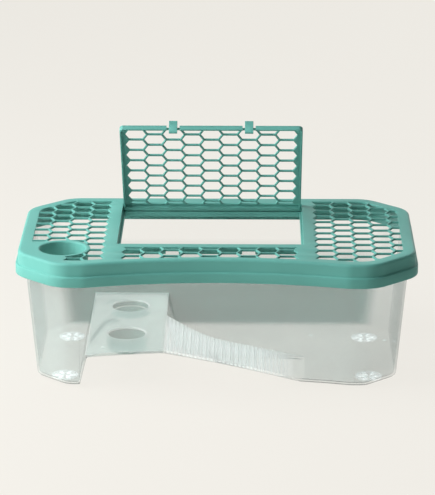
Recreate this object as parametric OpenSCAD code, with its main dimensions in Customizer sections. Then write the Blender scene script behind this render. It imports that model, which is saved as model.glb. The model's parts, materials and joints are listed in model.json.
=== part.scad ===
// Small pet keeper: a clear moulded tank with a basking deck and a ramp, a vented
// lift-off lid with a round feeding port, and a hinged mesh door with two snap latches.
// Millimetres. +Z up, -Y is the front, the origin is on the floor under the middle.

/* [Lid] */
// Width of the lid over its skirt
lid_w = 400; // [380:1:440]
// Depth of the lid over its skirt
lid_d = 241; // [225:1:270]
// Distance along the side edge that a corner cut takes off
cut_y = 41.5; // [32:0.5:50]
// Distance along the front and back edges that a corner cut takes off
cut_x = 43; // [32:0.5:54]
// Rounding radius where the corner cuts meet the edges
corner_r = 35; // [26:1:40]
// How far the middle of the front edge curves inwards
front_sag = 17.5; // [8:0.5:22]
// Distance from the side edge to the end of the curved front edge
front_end = 70; // [66:1:85]
// Blending radius where the curved front edge ends
blend_r = 40; // [30:1:45]
// Wall of the lid's top and skirt
lid_t = 2.2; // [1.6:0.1:2.4]
// Height of the skirt's lower, wider tier
skirt_low_h = 10.4; // [8:0.2:14]
// Height of the skirt's upper tier
skirt_up_h = 13.4; // [10:0.2:18]
// Step between the two tiers
skirt_step = 2.5; // [2:0.1:3.5]
// Rounding radius of the lid's upper edge
lid_edge_r = 3; // [1.5:0.5:4]

/* [Tank] */
// Height of the tank from its bottom to the lid's lower edge
tank_below = 107.9; // [90:0.1:140]
// Wall of the tank
tank_t = 2.2; // [1.6:0.1:3]
// Distance from the lid's outline to the tank's wall at the rim
rim_inset = 8; // [7.6:0.1:10]
// How far the wall leans in from the rim to the bottom
wall_lean = 12; // [6:0.5:18]
// Rounding radius of the bottom edge
bottom_r = 4; // [3:0.5:6]
// Thickness of the rim flange
rim_t = 2; // [1.5:0.1:3]
// Gap round the rim flange inside the lid
rim_gap = 0.7; // [0.4:0.1:1.2]
// Gap between the rim and the lid's top
seat_gap = 0.2; // [0.1:0.1:0.6]

/* [Deck and ramp] */
// Height of the basking deck over the tank's floor
deck_h = 30; // [20:0.5:45]
// Distance from the lid's left edge to the deck's top
deck_in = 70; // [64:1:78]
// Width of the deck's top
deck_w = 77.5; // [70:0.5:80]
// How far the deck's side walls lean out towards their foot
deck_lean = 7.5; // [4:0.5:10]
// Thickness of the ramp
ramp_t = 2.4; // [1.8:0.1:3]
// Length of the ramp, seen from above
ramp_l = 140.5; // [112:0.5:152]
// Length over which the ramp's back edge bends forwards
ramp_bend = 58; // [45:1:70]
// Depth coordinate of the ramp's back edge at its foot
ramp_y = -17.5; // [-35:0.5:-10]
// Depth coordinate of the ramp's back edge beside the deck
ramp_top_y = 25; // [5:1:30]
// How far the ramp's back wall leans out towards its foot
ramp_lean = 8; // [4:0.5:10]
// Number of ridges across the ramp
ridge_n = 15; // [5:1:18]
// Distance between the ridges
ridge_pitch = 8; // [6:0.5:9]
// Height of a ridge
ridge_h = 0.7; // [0.4:0.1:1.2]
// Width of a ridge
ridge_w = 1.4; // [1:0.1:2.5]
// Radius of the two bowls
bowl_r = 19.4; // [14:0.2:21]
// Depth of the back bowl
bowl_back_depth = 5.5; // [4:0.5:12]
// Depth of the front bowl
bowl_front_depth = 14; // [8:0.5:18]
// Distance from the lid's back edge to the middle of the back bowl
bowl_back_in = 64; // [58:0.5:72]
// Distance from the lid's front edge to the middle of the front bowl
bowl_front_in = 88; // [78:0.5:98]

/* [Feet] */
// Radius of a foot
foot_r = 13.5; // [8:0.5:14]
// Height of a foot
foot_h = 1.5; // [1:0.1:3]
// Distance from the lid's side edges to the feet
foot_in = 47.5; // [46:0.5:60]
// Distance from the lid's front edge to the front feet
foot_front_in = 53.5; // [48.5:0.5:70]
// Distance from the lid's back edge to the back feet
foot_back_in = 67.5; // [52.5:0.5:85]

/* [Vents] */
// Distance between the columns of hexagonal holes
hex_px = 19.12; // [18:0.01:21]
// Distance between the rows of hexagonal holes in the lid
hex_py = 20; // [17:0.1:21]
// Width of the ribs between the holes
hex_rib = 1.8; // [1.4:0.1:3]
// Length of a cell's flat side
hex_side = 14.72; // [12:0.01:17]
// Width of the plain border round the side vents
vent_border = 15; // [13:0.5:20]
// Width of the plain border in front of the front vent
strip_border = 10; // [9:0.5:12]
// Plain rim that closes the cut holes
vent_rim = 2; // [1.2:0.1:3]
// Depth by which the lid's pattern lies off the middle
row_shift = 3.4; // [0:0.1:10]
// Width of the plain border between the front vent and the door's seat
strip_back = 8.5; // [6:0.5:12]
// Width of the plain border between the side vents and the door's seat
side_border = 10; // [8:0.5:14]
// Number of columns of holes in the left vent
left_n = 4; // [2:1:4]
// Number of columns of holes in the right vent
right_n = 5; // [2:1:5]

/* [Feeding port] */
// Radius of the round port
port_r = 22.8; // [18:0.1:24]
// Distance from the lid's left edge to the port's middle
port_in = 47; // [44:0.5:52]
// Distance from the lid's front edge to the port's middle
port_front_in = 56.5; // [53.5:0.5:62.5]
// Depth of the port's collar
port_h = 18; // [12:0.5:24]
// Plain ring round the port
port_ring = 4.6; // [3:0.1:6]

/* [Door] */
// Distance from the lid's side edges to the door, on average
door_side = 107.75; // [105:0.25:120]
// Length of the door from its hinge axis to its free edge
door_l = 137.8; // [130:0.1:140]
// Sideways coordinate of the door's middle
door_x = -6.5; // [-7.5:0.1:-5.5]
// Thickness of the door's mesh
door_t = 2; // [1.4:0.1:2.6]
// Depth of the door's rim
door_rim_h = 5.6; // [4.8:0.1:6]
// Wall of the door's rim
door_rim_t = 2; // [1.5:0.1:3]
// Distance between the rows of holes in the door
door_py = 17.5; // [16:0.05:19]
// Distance from the free edge to the first full row of holes
door_row0 = 13.6; // [12.5:0.1:15.5]
// Gap between the door and its seat at the sides
door_gap = 1; // [0.6:0.1:1.6]
// Gap between the free edge and the seat
door_front_gap = 1.2; // [1.1:0.1:2]
// Angle by which the door stands open
door_open = 52; // [0:1:100]

/* [Hinge] */
// Distance from the lid's back edge to the hinge axis
hinge_in = 30; // [28.5:0.1:33.5]
// Radius of the hinge pins
pin_r = 1.2; // [1:0.1:1.4]
// Radial clearance of the pins
pin_gap = 0.08; // [0.05:0.01:0.1]
// Length of a hinge pin
pin_l = 4.4; // [3:0.1:6]
// Radius of the barrel along the door's hinge edge
barrel_r = 2.4; // [2.1:0.1:2.6]
// Gap behind the barrel, which lets the door lean back
barrel_gap = 2.6; // [2.5:0.1:3.2]
// Wall left over the pin's bore
bore_top = 0.3; // [0.2:0.1:0.6]
// Distance by which the door's plate reaches back over its axis
plate_back = 1.4; // [0.5:0.1:1.8]

/* [Latches] */
// Width of a latch
latch_w = 8.5; // [6:0.1:10]
// Thickness of a latch
latch_t = 1.6; // [1.2:0.1:2]
// Height of a latch over the door's top
latch_up = 5.5; // [4:0.1:8]
// Length of a latch below the door's top
latch_down = 9.4; // [9.2:0.1:10.6]
// How far the latch's barb stands out
barb_out = 0.6; // [0.4:0.1:0.7]
// Height of the latch's barb
barb_h = 1.8; // [1.2:0.1:1.8]
// Free space on each side of a latch
latch_side = 2.3; // [1.5:0.1:3]
// Distance of a latch from the door's middle, in columns
latch_col = 2; // [1:1:3]
// Gap between a latch and the web that carries it
web_gap = 0.25; // [0.2:0.05:0.4]

/* [Seat] */
// Width of the ledge at the sides
ledge_side = 2.2; // [1.8:0.1:3]
// Width of the ledge at the front
ledge_front = 6; // [5.4:0.1:9]
// Width of the ledge at the back
ledge_back = 7.5; // [5:0.1:10]
// Gap between the door's barrel and the ledge
ledge_gap = 0.3; // [0.3:0.1:0.8]
// Depth of the lip round the opening, below the ledge
lip_h = 5.5; // [3:0.1:8]

/* [Hidden] */
eps = 0.01;
pet_green = [0.41, 0.68, 0.62];
pet_clear = [0.80, 0.85, 0.82, 0.4];

// Places, from the lid's edges
corner_x = lid_w / 2 - cut_x;
corner_y = lid_d / 2 - cut_y;
front_half = lid_w / 2 - front_end;
deck_x0 = deck_in - lid_w / 2;
deck_x1 = deck_x0 + deck_w;
ramp_x1 = deck_x1 + ramp_l;
bowl_back_y = lid_d / 2 - bowl_back_in;
bowl_front_y = bowl_front_in - lid_d / 2;
foot_x = lid_w / 2 - foot_in;
foot_front_y = foot_front_in - lid_d / 2;
foot_back_y = lid_d / 2 - foot_back_in;
port_x = port_in - lid_w / 2;
port_y = port_front_in - lid_d / 2;
hinge_y = lid_d / 2 - hinge_in;
door_w = lid_w - 2 * door_side;

// Levels
floor_z = foot_h;
lid_z = floor_z + tank_below;
step_z = lid_z + skirt_low_h;
top_z = step_z + skirt_up_h;
plate_z = top_z - lid_t;
rim_z = plate_z - seat_gap;
floor_top = floor_z + tank_t;
deck_z = floor_top + deck_h;

// Insets from the lid's outline
flange_inset = skirt_step + lid_t + rim_gap;
wall_k = wall_lean / (rim_z - floor_z);

// Seat of the door
axis_z = plate_z - bore_top - pin_gap - pin_r;
seat_x0 = door_x - door_w / 2 - door_gap;
seat_x1 = door_x + door_w / 2 + door_gap;
seat_y0 = hinge_y - door_l - door_front_gap;
seat_y1 = hinge_y + barrel_r + barrel_gap;
ledge_z = min(axis_z - barrel_r, top_z - door_rim_h) - ledge_gap;
hole_x0 = seat_x0 + ledge_side;
hole_x1 = seat_x1 - ledge_side;
hole_y0 = seat_y0 + ledge_front;
hole_y1 = seat_y1 - ledge_back;
notch_w = latch_w + 2 * latch_side;
notch_d = latch_t + 2;
boss_t = pin_l - door_gap - lid_t + 1.4;
boss_r = pin_r + pin_gap + 1.8;

// Hexagonal cells: half width at the tips and half length of the flat side
cell_b = hex_side / 2;
cell_a = hex_px - cell_b;

// Inner edges of the side vents' holes, and whole columns in each half of the door's mesh
left_x = seat_x0 - side_border;
right_x = seat_x1 + side_border;
mesh_col = floor((door_w / 2 - door_rim_t - cell_a) / hex_px);

// ---- Outline of the lid ----

function unit(v) = v / norm(v);
function turned(v, a) = [v[0] * cos(a) - v[1] * sin(a), v[0] * sin(a) + v[1] * cos(a)];
function side(a, b) = a[0] * b[1] - a[1] * b[0];

// Points of the arc that rounds the corner p between its neighbours p0 and p1
function round_corner(p0, p, p1, r, n) =
    let (
        a = unit(p0 - p),
        b = unit(p1 - p),
        half = acos(a * b) / 2,
        c = p + unit(a + b) * r / sin(half),
        start = p + a * r / tan(half) - c,
        turn = (180 - 2 * half) * sign(side(p - p0, p1 - p))
    )
    [for (i = [0 : n]) c + turned(start, turn * i / n)];

// The curved front edge
sag_r = (front_half * front_half + front_sag * front_sag) / (2 * front_sag);
function front_y(x) = -lid_d / 2 + front_sag - sag_r + sqrt(sag_r * sag_r - x * x);
front_pts = [for (i = [-4 : 4]) let (x = front_half * i / 4.8) [x, front_y(x)]];

corners = [
    [lid_w / 2, -corner_y],
    [lid_w / 2, corner_y],
    [corner_x, lid_d / 2],
    [-corner_x, lid_d / 2],
    [-lid_w / 2, corner_y],
    [-lid_w / 2, -corner_y],
    [-corner_x, -lid_d / 2],
    [-front_half, -lid_d / 2]
];
function mirrored(p) = [-p[0], p[1]];
outline = concat(
    [for (i = [0 : 7]) let (
        p0 = i == 0 ? mirrored(corners[6]) : corners[i - 1],
        p1 = i == 7 ? front_pts[0] : corners[i + 1]
    ) each round_corner(p0, corners[i], p1, i == 7 ? blend_r : corner_r, i == 7 ? 2 : 4)],
    front_pts,
    round_corner(front_pts[8], mirrored(corners[7]), mirrored(corners[6]), blend_r, 2),
    round_corner(mirrored(corners[7]), mirrored(corners[6]), corners[0], corner_r, 4)
);

// The outline moved inwards by g, point for point
function inset(pts, g) =
    let (n = len(pts))
    [for (i = [0 : n - 1]) let (
        a = unit(pts[i] - pts[(i + n - 1) % n]),
        b = unit(pts[(i + 1) % n] - pts[i]),
        na = [-a[1], a[0]],
        nb = [-b[1], b[0]]
    ) pts[i] + (na + nb) * g / (1 + na * nb)];

function ring(z, g) = [for (p = inset(outline, g)) [p[0], p[1], z]];

// Middle of a ring's points
function middle(r) = [for (p = r) 1 / len(r)] * r;

// A solid over rings of points, each with as many points as the first
module skin(rings) {
    n = len(rings[0]);
    m = len(rings);
    polyhedron(
        points = concat([for (r = rings) each r], [middle(rings[0]), middle(rings[m - 1])]),
        faces = [for (i = [0 : n - 1]) let (k = (i + 1) % n) each concat(
            [[m * n, i, k]],
            [for (j = [0 : m - 2]) let (a = j * n + i, b = j * n + k) each [[a, b + n, b], [a, a + n, b + n]]],
            [[m * n + 1, (m - 1) * n + k, (m - 1) * n + i]]
        )],
        convexity = 10
    );
}

// ---- Tank ----

function wall_inset(z) = rim_inset + (rim_z - z) * wall_k;

module tank_outer() {
    skin(concat(
        [for (a = [90, 60, 30]) ring(
            floor_z + bottom_r * (1 - sin(a)),
            wall_inset(floor_z + bottom_r * (1 - sin(a))) + bottom_r * (1 - cos(a))
        )],
        [
            ring(floor_z + bottom_r, wall_inset(floor_z + bottom_r)),
            ring(rim_z - rim_t, wall_inset(rim_z - rim_t)),
            ring(rim_z - rim_t, flange_inset),
            ring(rim_z, flange_inset)
        ]
    ));
}

module tank_inner() {
    r = bottom_r - tank_t / 2;
    skin(concat(
        [for (a = [90, 60, 30]) ring(
            floor_top + r * (1 - sin(a)),
            tank_t + wall_inset(floor_top + r * (1 - sin(a))) + r * (1 - cos(a))
        )],
        [
            ring(floor_top + r, tank_t + wall_inset(floor_top + r)),
            ring(rim_z - 1, tank_t + wall_inset(rim_z - 1)),
            ring(rim_z + 1, tank_t + wall_inset(rim_z + 1))
        ]
    ));
}

// The raised block under the deck, through the whole depth; d takes it in all round
module deck_block(d, low) {
    x0 = deck_x0 - deck_lean;
    x1 = deck_x1 + deck_lean;
    drop = floor_top - low;
    k = deck_lean / deck_h;
    translate([0, lid_d / 2, 0]) rotate([90, 0, 0]) linear_extrude(lid_d) polygon([
        [x0 - k * drop + d, low],
        [x1 + k * drop - d, low],
        [deck_x1 - d + k * d, deck_z - d],
        [deck_x0 + d - k * d, deck_z - d]
    ]);
}

// The ramp's height and its back edge, along the width
ramp_k = deck_h / (ramp_x1 - deck_x1);
function ramp_z(x) = min(deck_z, floor_top + (ramp_x1 - x) * ramp_k);
function ramp_back(x) =
    let (t = max(0, 1 - (x - deck_x1) / ramp_bend))
    ramp_y + (ramp_top_y - ramp_y) * t * t * (3 - t) / 2;

// The raised block under the ramp from x0 on; d takes it in all round
module ramp_block(x0, d, low) {
    xs = concat(x0 < deck_x1 ? [x0] : [], [for (i = [0 : 7]) deck_x1 + ramp_bend * i / 7], [ramp_x1]);
    skin([for (x = xs) let (
        z = ramp_z(x) - d,
        lean = ramp_lean * (z - low) / deck_h,
        y = ramp_back(max(x, deck_x1)) - d
    ) [
        [x, -lid_d / 2, low],
        [x, y + lean, low],
        [x, y, z],
        [x, -lid_d / 2, z]
    ]]);
}

// The open space under the deck and the ramp
module under_deck() deck_block(tank_t, floor_z - 1);
module under_ramp() ramp_block(deck_x1 - tank_t - 1, ramp_t, floor_z - 1);

module tank() {
    color(pet_clear) difference() {
        tank_outer();
        tank_inner();
        under_deck();
        under_ramp();
    }
}

module bowl_cup(y, depth) {
    translate([(deck_x0 + deck_x1) / 2, y, deck_z]) rotate_extrude($fn = 48) polygon([
        [0, -depth - tank_t],
        [bowl_r + tank_t - depth * 0.14, -depth - tank_t],
        [bowl_r + tank_t, -tank_t / 2],
        [0, -tank_t / 2]
    ]);
}

module bowl_hollow(y, depth) {
    translate([(deck_x0 + deck_x1) / 2, y, deck_z]) rotate_extrude($fn = 48) polygon([
        [0, -depth],
        [bowl_r - 2 - depth * 0.14, -depth],
        [bowl_r - 1 - depth * 0.14, -depth + 1],
        [bowl_r - 1, -1],
        [bowl_r, 0],
        [bowl_r, 1],
        [0, 1]
    ]);
}

module basking_deck() {
    color(pet_clear) difference() {
        union() {
            difference() {
                intersection() {
                    tank_inner();
                    deck_block(0, floor_top - 1);
                }
                under_deck();
                under_ramp();
            }
            bowl_cup(bowl_back_y, bowl_back_depth);
            bowl_cup(bowl_front_y, bowl_front_depth);
        }
        bowl_hollow(bowl_back_y, bowl_back_depth);
        bowl_hollow(bowl_front_y, bowl_front_depth);
    }
}

// Low ridges across the ramp, from its front edge to just short of its back edge
module ramp_ridges() {
    slope = atan(ramp_k);
    for (i = [0 : ridge_n - 1]) {
        x = deck_x1 + 17 + i * ridge_pitch;
        back = ramp_back(x + ridge_w) - 4;
        front = front_y(x) + wall_inset(ramp_z(x)) + tank_t + 4;
        if (x < ramp_x1 - 5)
            translate([x, front, ramp_z(x)]) rotate([0, slope, 0]) translate([0, 0, -tank_t / 2])
                cube([ridge_w, back - front, tank_t / 2 + ridge_h]);
    }
}

module ramp() {
    color(pet_clear) {
        difference() {
            intersection() {
                tank_inner();
                ramp_block(deck_x1, 0, floor_top - 1);
            }
            under_ramp();
            deck_block(0, floor_top - 1);
        }
        ramp_ridges();
    }
}

module foot(x, y) {
    color(pet_clear) translate([x, y, 0]) rotate_extrude($fn = 48) polygon([
        [0, 0],
        [foot_r - 0.6, 0],
        [foot_r, 0.6],
        [foot_r, foot_h],
        [0, foot_h]
    ]);
}
module foot_front_left() foot(-foot_x, foot_front_y);
module foot_front_right() foot(foot_x, foot_front_y);
module foot_back_left() foot(-foot_x, foot_back_y);
module foot_back_right() foot(foot_x, foot_back_y);

// ---- Lid ----

// Areas of the vents, with m of plain rim kept outside the holes
module left_area(m) {
    intersection() {
        polygon(inset(outline, vent_border - m));
        translate([-lid_w, -lid_d]) square([lid_w + left_x + m, 2 * lid_d]);
    }
}

module right_area(m) {
    intersection() {
        polygon(inset(outline, vent_border - m));
        translate([right_x - m, -lid_d]) square([lid_w, 2 * lid_d]);
    }
}

module front_area(m) {
    w = mesh_col * hex_px + cell_a - 0.3 + m;
    intersection() {
        polygon(inset(outline, strip_border - m));
        translate([door_x - w, -lid_d]) square([2 * w, lid_d + seat_y0 - lid_t - strip_back + m]);
    }
}

module port_area(m) {
    translate([port_x, port_y]) circle(r = port_r + m, $fn = 72);
}

// The left vent's part behind the port, and its part between the port and the door
port_edge = port_r + port_ring;
module behind_port() translate([-lid_w, port_y + port_edge]) square([2 * lid_w, lid_d]);
module beside_port() translate([port_x + port_edge, port_y + port_edge - lid_d]) square([lid_w, lid_d]);

// One hexagonal hole in a cell py deep
module hex_hole(py) {
    run = cell_a - cell_b;
    slant = norm([run, py / 2]);
    tip = cell_a - hex_rib / 2 * slant / (py / 2);
    h = py / 2 - hex_rib / 2;
    flat = tip - h * run / (py / 2);
    polygon([[tip, 0], [flat, h], [-flat, h], [-tip, 0], [-flat, -h], [flat, -h]]);
}

// Columns of the lid's pattern at x0, x0 + step and so on, each second one half a row up
module lid_holes(x0, step, n, first = 0) {
    rows = ceil(lid_d / hex_py / 2) + 1;
    for (c = [first : first + n - 1]) for (r = [-rows : rows])
        translate([x0 + c * step, row_shift + (r + (c % 2 == 0 ? 0 : 0.5)) * hex_py]) hex_hole(hex_py);
}

// The left vent's holes, with none in the ring round the port or to its left
module left_holes() {
    difference() {
        intersection() {
            left_area(0);
            lid_holes(left_x + 0.3 - cell_a, -hex_px, left_n);
        }
        port_area(port_ring);
        translate([port_x - lid_w, port_y - lid_d]) square([lid_w, lid_d + port_r]);
    }
}

module vent_left() {
    color(pet_green) translate([0, 0, plate_z]) linear_extrude(lid_t) difference() {
        intersection() {
            left_area(vent_rim);
            behind_port();
        }
        left_holes();
    }
}

module vent_port() {
    color(pet_green) translate([0, 0, plate_z]) linear_extrude(lid_t) difference() {
        intersection() {
            left_area(vent_rim);
            beside_port();
        }
        left_holes();
    }
}

module vent_right() {
    color(pet_green) translate([0, 0, plate_z]) linear_extrude(lid_t) difference() {
        right_area(vent_rim);
        intersection() {
            right_area(0);
            lid_holes(right_x - 0.3 + cell_a, hex_px, right_n);
        }
    }
}

module vent_front() {
    color(pet_green) translate([0, 0, plate_z]) linear_extrude(lid_t) difference() {
        front_area(vent_rim);
        intersection() {
            front_area(0);
            lid_holes(door_x, hex_px, 2 * mesh_col + 1, -mesh_col);
        }
    }
}

module lid_frame() {
    chamfer = 1;
    color(pet_green) difference() {
        skin(concat(
            [
                ring(lid_z, 0.5),
                ring(lid_z + 0.8, 0),
                ring(step_z - chamfer, 0),
                ring(step_z, chamfer),
                ring(step_z + eps, skirt_step - 0.4)
            ],
            [ring(step_z + 0.8, skirt_step)],
            [for (a = [0 : 30 : 90]) ring(
                top_z - lid_edge_r + lid_edge_r * sin(a),
                skirt_step + lid_edge_r * (1 - cos(a))
            )]
        ));
        skin([
            ring(lid_z - 1, lid_t),
            ring(step_z - lid_t, lid_t),
            ring(step_z - lid_t + chamfer, lid_t + skirt_step),
            ring(plate_z - 0.4, lid_t + skirt_step),
            ring(plate_z, lid_t + skirt_step + 0.4)
        ]);
        translate([0, 0, plate_z - 1]) linear_extrude(lid_t + 2) {
            intersection() {
                left_area(vent_rim);
                union() {
                    behind_port();
                    beside_port();
                }
            }
            left_holes();
            right_area(vent_rim);
            front_area(vent_rim);
            port_area(lid_t);
        }
        block([seat_x0, seat_y0, plate_z - 1], [seat_x1, seat_y1, top_z + 1]);
    }
}

module port_collar() {
    color(pet_green) translate([port_x, port_y, top_z - port_h]) difference() {
        cylinder(r = port_r + lid_t, h = port_h, $fn = 72);
        translate([0, 0, -1]) cylinder(r = port_r, h = port_h + 2, $fn = 72);
    }
}

// A block from corner a to corner b
module block(a, b) {
    translate(a) cube(b - a);
}

module hinge_bore(x) {
    translate([x, hinge_y, axis_z]) rotate([0, 90, 0])
        cylinder(r = pin_r + pin_gap, h = boss_t + lid_t + 2, center = true, $fn = 48);
}

module hinge_boss(x) {
    translate([x, hinge_y, axis_z]) rotate([0, 90, 0])
        cylinder(r = boss_r, h = boss_t, center = true, $fn = 48);
}

module door_seat() {
    t = lid_t;
    low = ledge_z - lip_h;
    left_x = seat_x0 - t - boss_t / 2;
    right_x = seat_x1 + t + boss_t / 2;
    color(pet_green) difference() {
        union() {
            block([seat_x0 - t, seat_y0 - t, low], [seat_x1 + t, seat_y1 + t, plate_z]);
            intersection() {
                union() {
                    hinge_boss(left_x);
                    hinge_boss(right_x);
                }
                block([-lid_w, -lid_d, low], [lid_w, lid_d, plate_z]);
            }
        }
        block([seat_x0, seat_y0, ledge_z], [seat_x1, seat_y1, top_z + 1]);
        block([hole_x0, hole_y0, low - 1], [hole_x1, hole_y1, top_z + 1]);
        // hollow side under the ledge
        difference() {
            block([seat_x0 - 2 * t, seat_y0 - 2 * t, low - 1], [seat_x1 + 2 * t, seat_y1 + 2 * t, ledge_z - t]);
            block([hole_x0 - t, hole_y0 - t, low - 2], [hole_x1 + t, hole_y1 + t, ledge_z]);
        }
        // openings for the latches
        for (s = [-1, 1]) {
            x = door_x + s * latch_col * hex_px;
            block([x - notch_w / 2, seat_y0 - 2 * t, low - 1], [x + notch_w / 2, hole_y0 + 1, ledge_z - 0.4]);
            block([x - notch_w / 2, seat_y0, low - 1], [x + notch_w / 2, hole_y0 + 1, ledge_z + 1]);
        }
        hinge_bore(left_x + t / 2);
        hinge_bore(right_x - t / 2);
    }
}

// ---- Door ----

// Turns what is drawn for the closed door, its hinge axis at the origin, to where it stands open
module hinged() {
    translate([door_x, hinge_y, axis_z]) rotate([-door_open, 0, 0]) children();
}

door_top = top_z - axis_z;
door_low = door_top - door_rim_h;
mesh_y0 = -door_l + door_rim_t + 1.4;
mesh_y1 = -barrel_r - 3;
mesh_half = mesh_col * hex_px + cell_a - 0.3;
bay_border = 2;

module door_panel(m) {
    translate([-mesh_half - m, mesh_y0 - m]) square([2 * (mesh_half + m), mesh_y1 - mesh_y0 + 2 * m]);
}

module door_mesh() {
    rows = ceil(door_l / door_py);
    color(pet_green) hinged() translate([0, 0, door_top - door_t]) linear_extrude(door_t) difference() {
        door_panel(0.8);
        intersection() {
            door_panel(0);
            for (c = [-mesh_col : mesh_col]) for (r = [-1 : rows])
                translate([c * hex_px, -door_l + door_row0 + (r + (c % 2 == 0 ? 0 : 0.5)) * door_py])
                    hex_hole(door_py);
        }
        for (s = [-1, 1]) latch_bay(s);
    }
}

// Plain border round the free space of a latch
module latch_bay(s) {
    w = notch_w + 2 * bay_border;
    translate([s * latch_col * hex_px - w / 2, -door_l]) square([w, notch_d + bay_border]);
}

module door_frame() {
    color(pet_green) hinged() difference() {
        union() {
            // rim and flat border
            difference() {
                block([-door_w / 2, -door_l, door_low], [door_w / 2, plate_back, door_top]);
                block(
                    [-door_w / 2 + door_rim_t, -door_l + door_rim_t, door_low - 1],
                    [door_w / 2 - door_rim_t, -barrel_r - 1, door_top - door_t]
                );
                translate([0, 0, door_low - 1]) linear_extrude(2 * door_rim_h) door_panel(0.8);
            }
            // barrel along the hinge axis
            rotate([0, 90, 0]) cylinder(r = barrel_r, h = door_w, center = true, $fn = 64);
            // borders that carry the latches
            for (s = [-1, 1]) translate([0, 0, door_top - door_t]) linear_extrude(door_t) latch_bay(s);
        }
        // free space under the plate behind the axis, round the barrel
        difference() {
            block([-door_w, 0, -2 * door_rim_h], [door_w, 2 * barrel_r, door_top - door_t]);
            rotate([0, 90, 0]) cylinder(r = barrel_r, h = 3 * door_w, center = true, $fn = 64);
        }
        // free space round the latches
        for (s = [-1, 1]) translate([s * latch_col * hex_px - notch_w / 2, -door_l - 1, door_low - 1])
            cube([notch_w, notch_d + 1, 2 * door_rim_h]);
    }
}

module latch_web(s) {
    w = latch_w - 2.5;
    color(pet_green) hinged() translate([s * latch_col * hex_px, 0, 0]) block(
        [-w / 2, -door_l + latch_t + web_gap, door_top - door_t + 0.2],
        [w / 2, -door_l + notch_d, door_top - 0.2]
    );
}

module latch(s) {
    color(pet_green) hinged() translate([s * latch_col * hex_px, -door_l, door_top])
        rotate([90, 0, -90]) linear_extrude(latch_w, center = true) polygon([
            [-latch_t, latch_up],
            [-latch_t, -latch_down],
            [0, -latch_down],
            [barb_out, -latch_down + barb_h * 0.6],
            [barb_out, -latch_down + barb_h],
            [0, -latch_down + barb_h],
            [0, latch_up - 2.2],
            [0.5, latch_up - 1.4],
            [0.5, latch_up]
        ]);
}
module latch_left() latch(-1);
module latch_right() latch(1);
module latch_web_left() latch_web(-1);
module latch_web_right() latch_web(1);

module pin(s) {
    color(pet_green) hinged() translate([s * (door_w + pin_l) / 2, 0, 0]) rotate([0, 90, 0])
        cylinder(r = pin_r, h = pin_l, center = true, $fn = 48);
}
module pin_left() pin(-1);
module pin_right() pin(1);

tank();
basking_deck();
ramp();
foot_front_left();
foot_front_right();
foot_back_left();
foot_back_right();
lid_frame();
vent_left();
vent_port();
vent_right();
vent_front();
port_collar();
door_seat();
door_frame();
door_mesh();
pin_left();
pin_right();
latch_web_left();
latch_web_right();
latch_left();
latch_right();
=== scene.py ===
"""Looks of a small pet keeper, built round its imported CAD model.

A clear moulded tank with a basking deck and a ramp, a vented lift-off lid with a round
feeding port, and a hinged mesh door with two latches. Sizes are in millimetres unless a
line says otherwise; meshes are in metres.
"""

import json
import logging
import math
from collections.abc import Callable
from dataclasses import dataclass, field
from enum import Enum

import bmesh
import bpy
import numpy as np
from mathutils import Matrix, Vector, geometry

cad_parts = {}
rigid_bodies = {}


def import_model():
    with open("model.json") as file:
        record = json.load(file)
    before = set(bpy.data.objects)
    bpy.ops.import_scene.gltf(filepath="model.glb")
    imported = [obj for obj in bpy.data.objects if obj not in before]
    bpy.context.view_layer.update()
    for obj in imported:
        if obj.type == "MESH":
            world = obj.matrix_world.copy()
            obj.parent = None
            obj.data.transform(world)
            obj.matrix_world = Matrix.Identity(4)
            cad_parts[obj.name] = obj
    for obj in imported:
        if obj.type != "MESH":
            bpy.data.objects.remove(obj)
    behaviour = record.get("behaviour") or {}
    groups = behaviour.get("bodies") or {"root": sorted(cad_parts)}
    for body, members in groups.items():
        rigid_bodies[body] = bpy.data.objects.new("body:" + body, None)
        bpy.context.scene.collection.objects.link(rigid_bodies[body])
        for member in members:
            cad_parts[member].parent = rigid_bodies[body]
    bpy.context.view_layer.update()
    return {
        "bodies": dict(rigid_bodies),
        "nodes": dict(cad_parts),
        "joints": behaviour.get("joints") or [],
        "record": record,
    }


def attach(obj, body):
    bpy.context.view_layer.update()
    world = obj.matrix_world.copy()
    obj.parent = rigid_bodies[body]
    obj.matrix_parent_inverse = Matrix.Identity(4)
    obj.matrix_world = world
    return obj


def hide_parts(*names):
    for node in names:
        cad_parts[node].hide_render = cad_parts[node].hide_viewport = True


log = logging.getLogger("pet_keeper")

Array = np.ndarray
Pair = tuple[float, float]
Triple = tuple[float, float, float]
Tree = bpy.types.NodeTree
Socket = bpy.types.NodeSocket

MM = 0.001  # metres in a millimetre
MERGE = 3e-6  # metres within which the points of a new surface are one
CAD_MERGE = 6e-5  # metres within which the points of a CAD node are one
FLAT = 0.08  # degrees below which neighbouring faces count as one flat face
TONES = (0.35, 0.65)  # range in which nearly all of a noise's values lie
PLASTIC_IOR = 1.49


# ---- Surfaces ---------------------------------------------------------------------


def quads(rows: int, cols: int, wrap_rows: bool = False) -> Array:
    """Faces of a grid of points, stored row by row, whose rows close on themselves.

    Args:
        rows: number of rows.
        cols: number of points in a row.
        wrap_rows: whether the last row joins the first.

    Returns:
        One row of four point numbers for each face.
    """
    r = np.arange(rows if wrap_rows else rows - 1)[:, None]
    c = np.arange(cols)[None, :]
    r2, c2 = (r + 1) % rows, (c + 1) % cols
    corners = (r * cols + c, r * cols + c2, r2 * cols + c2, r2 * cols + c)
    return np.stack(corners, axis=-1).reshape(-1, 4)


def arc(centre: Pair, radius: float, start: float, end: float, steps: int) -> Array:
    """Points of an arc: centre + radius * (cos a, sin a), a going evenly from start to end.

    Args:
        centre: centre of the arc.
        radius: radius of the arc.
        start: first angle in degrees.
        end: last angle in degrees.
        steps: number of steps between them.

    Returns:
        An array of steps + 1 points.
    """
    a = np.radians(np.linspace(start, end, steps + 1))
    return np.array(centre) + radius * np.stack([np.cos(a), np.sin(a)], axis=1)


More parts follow.
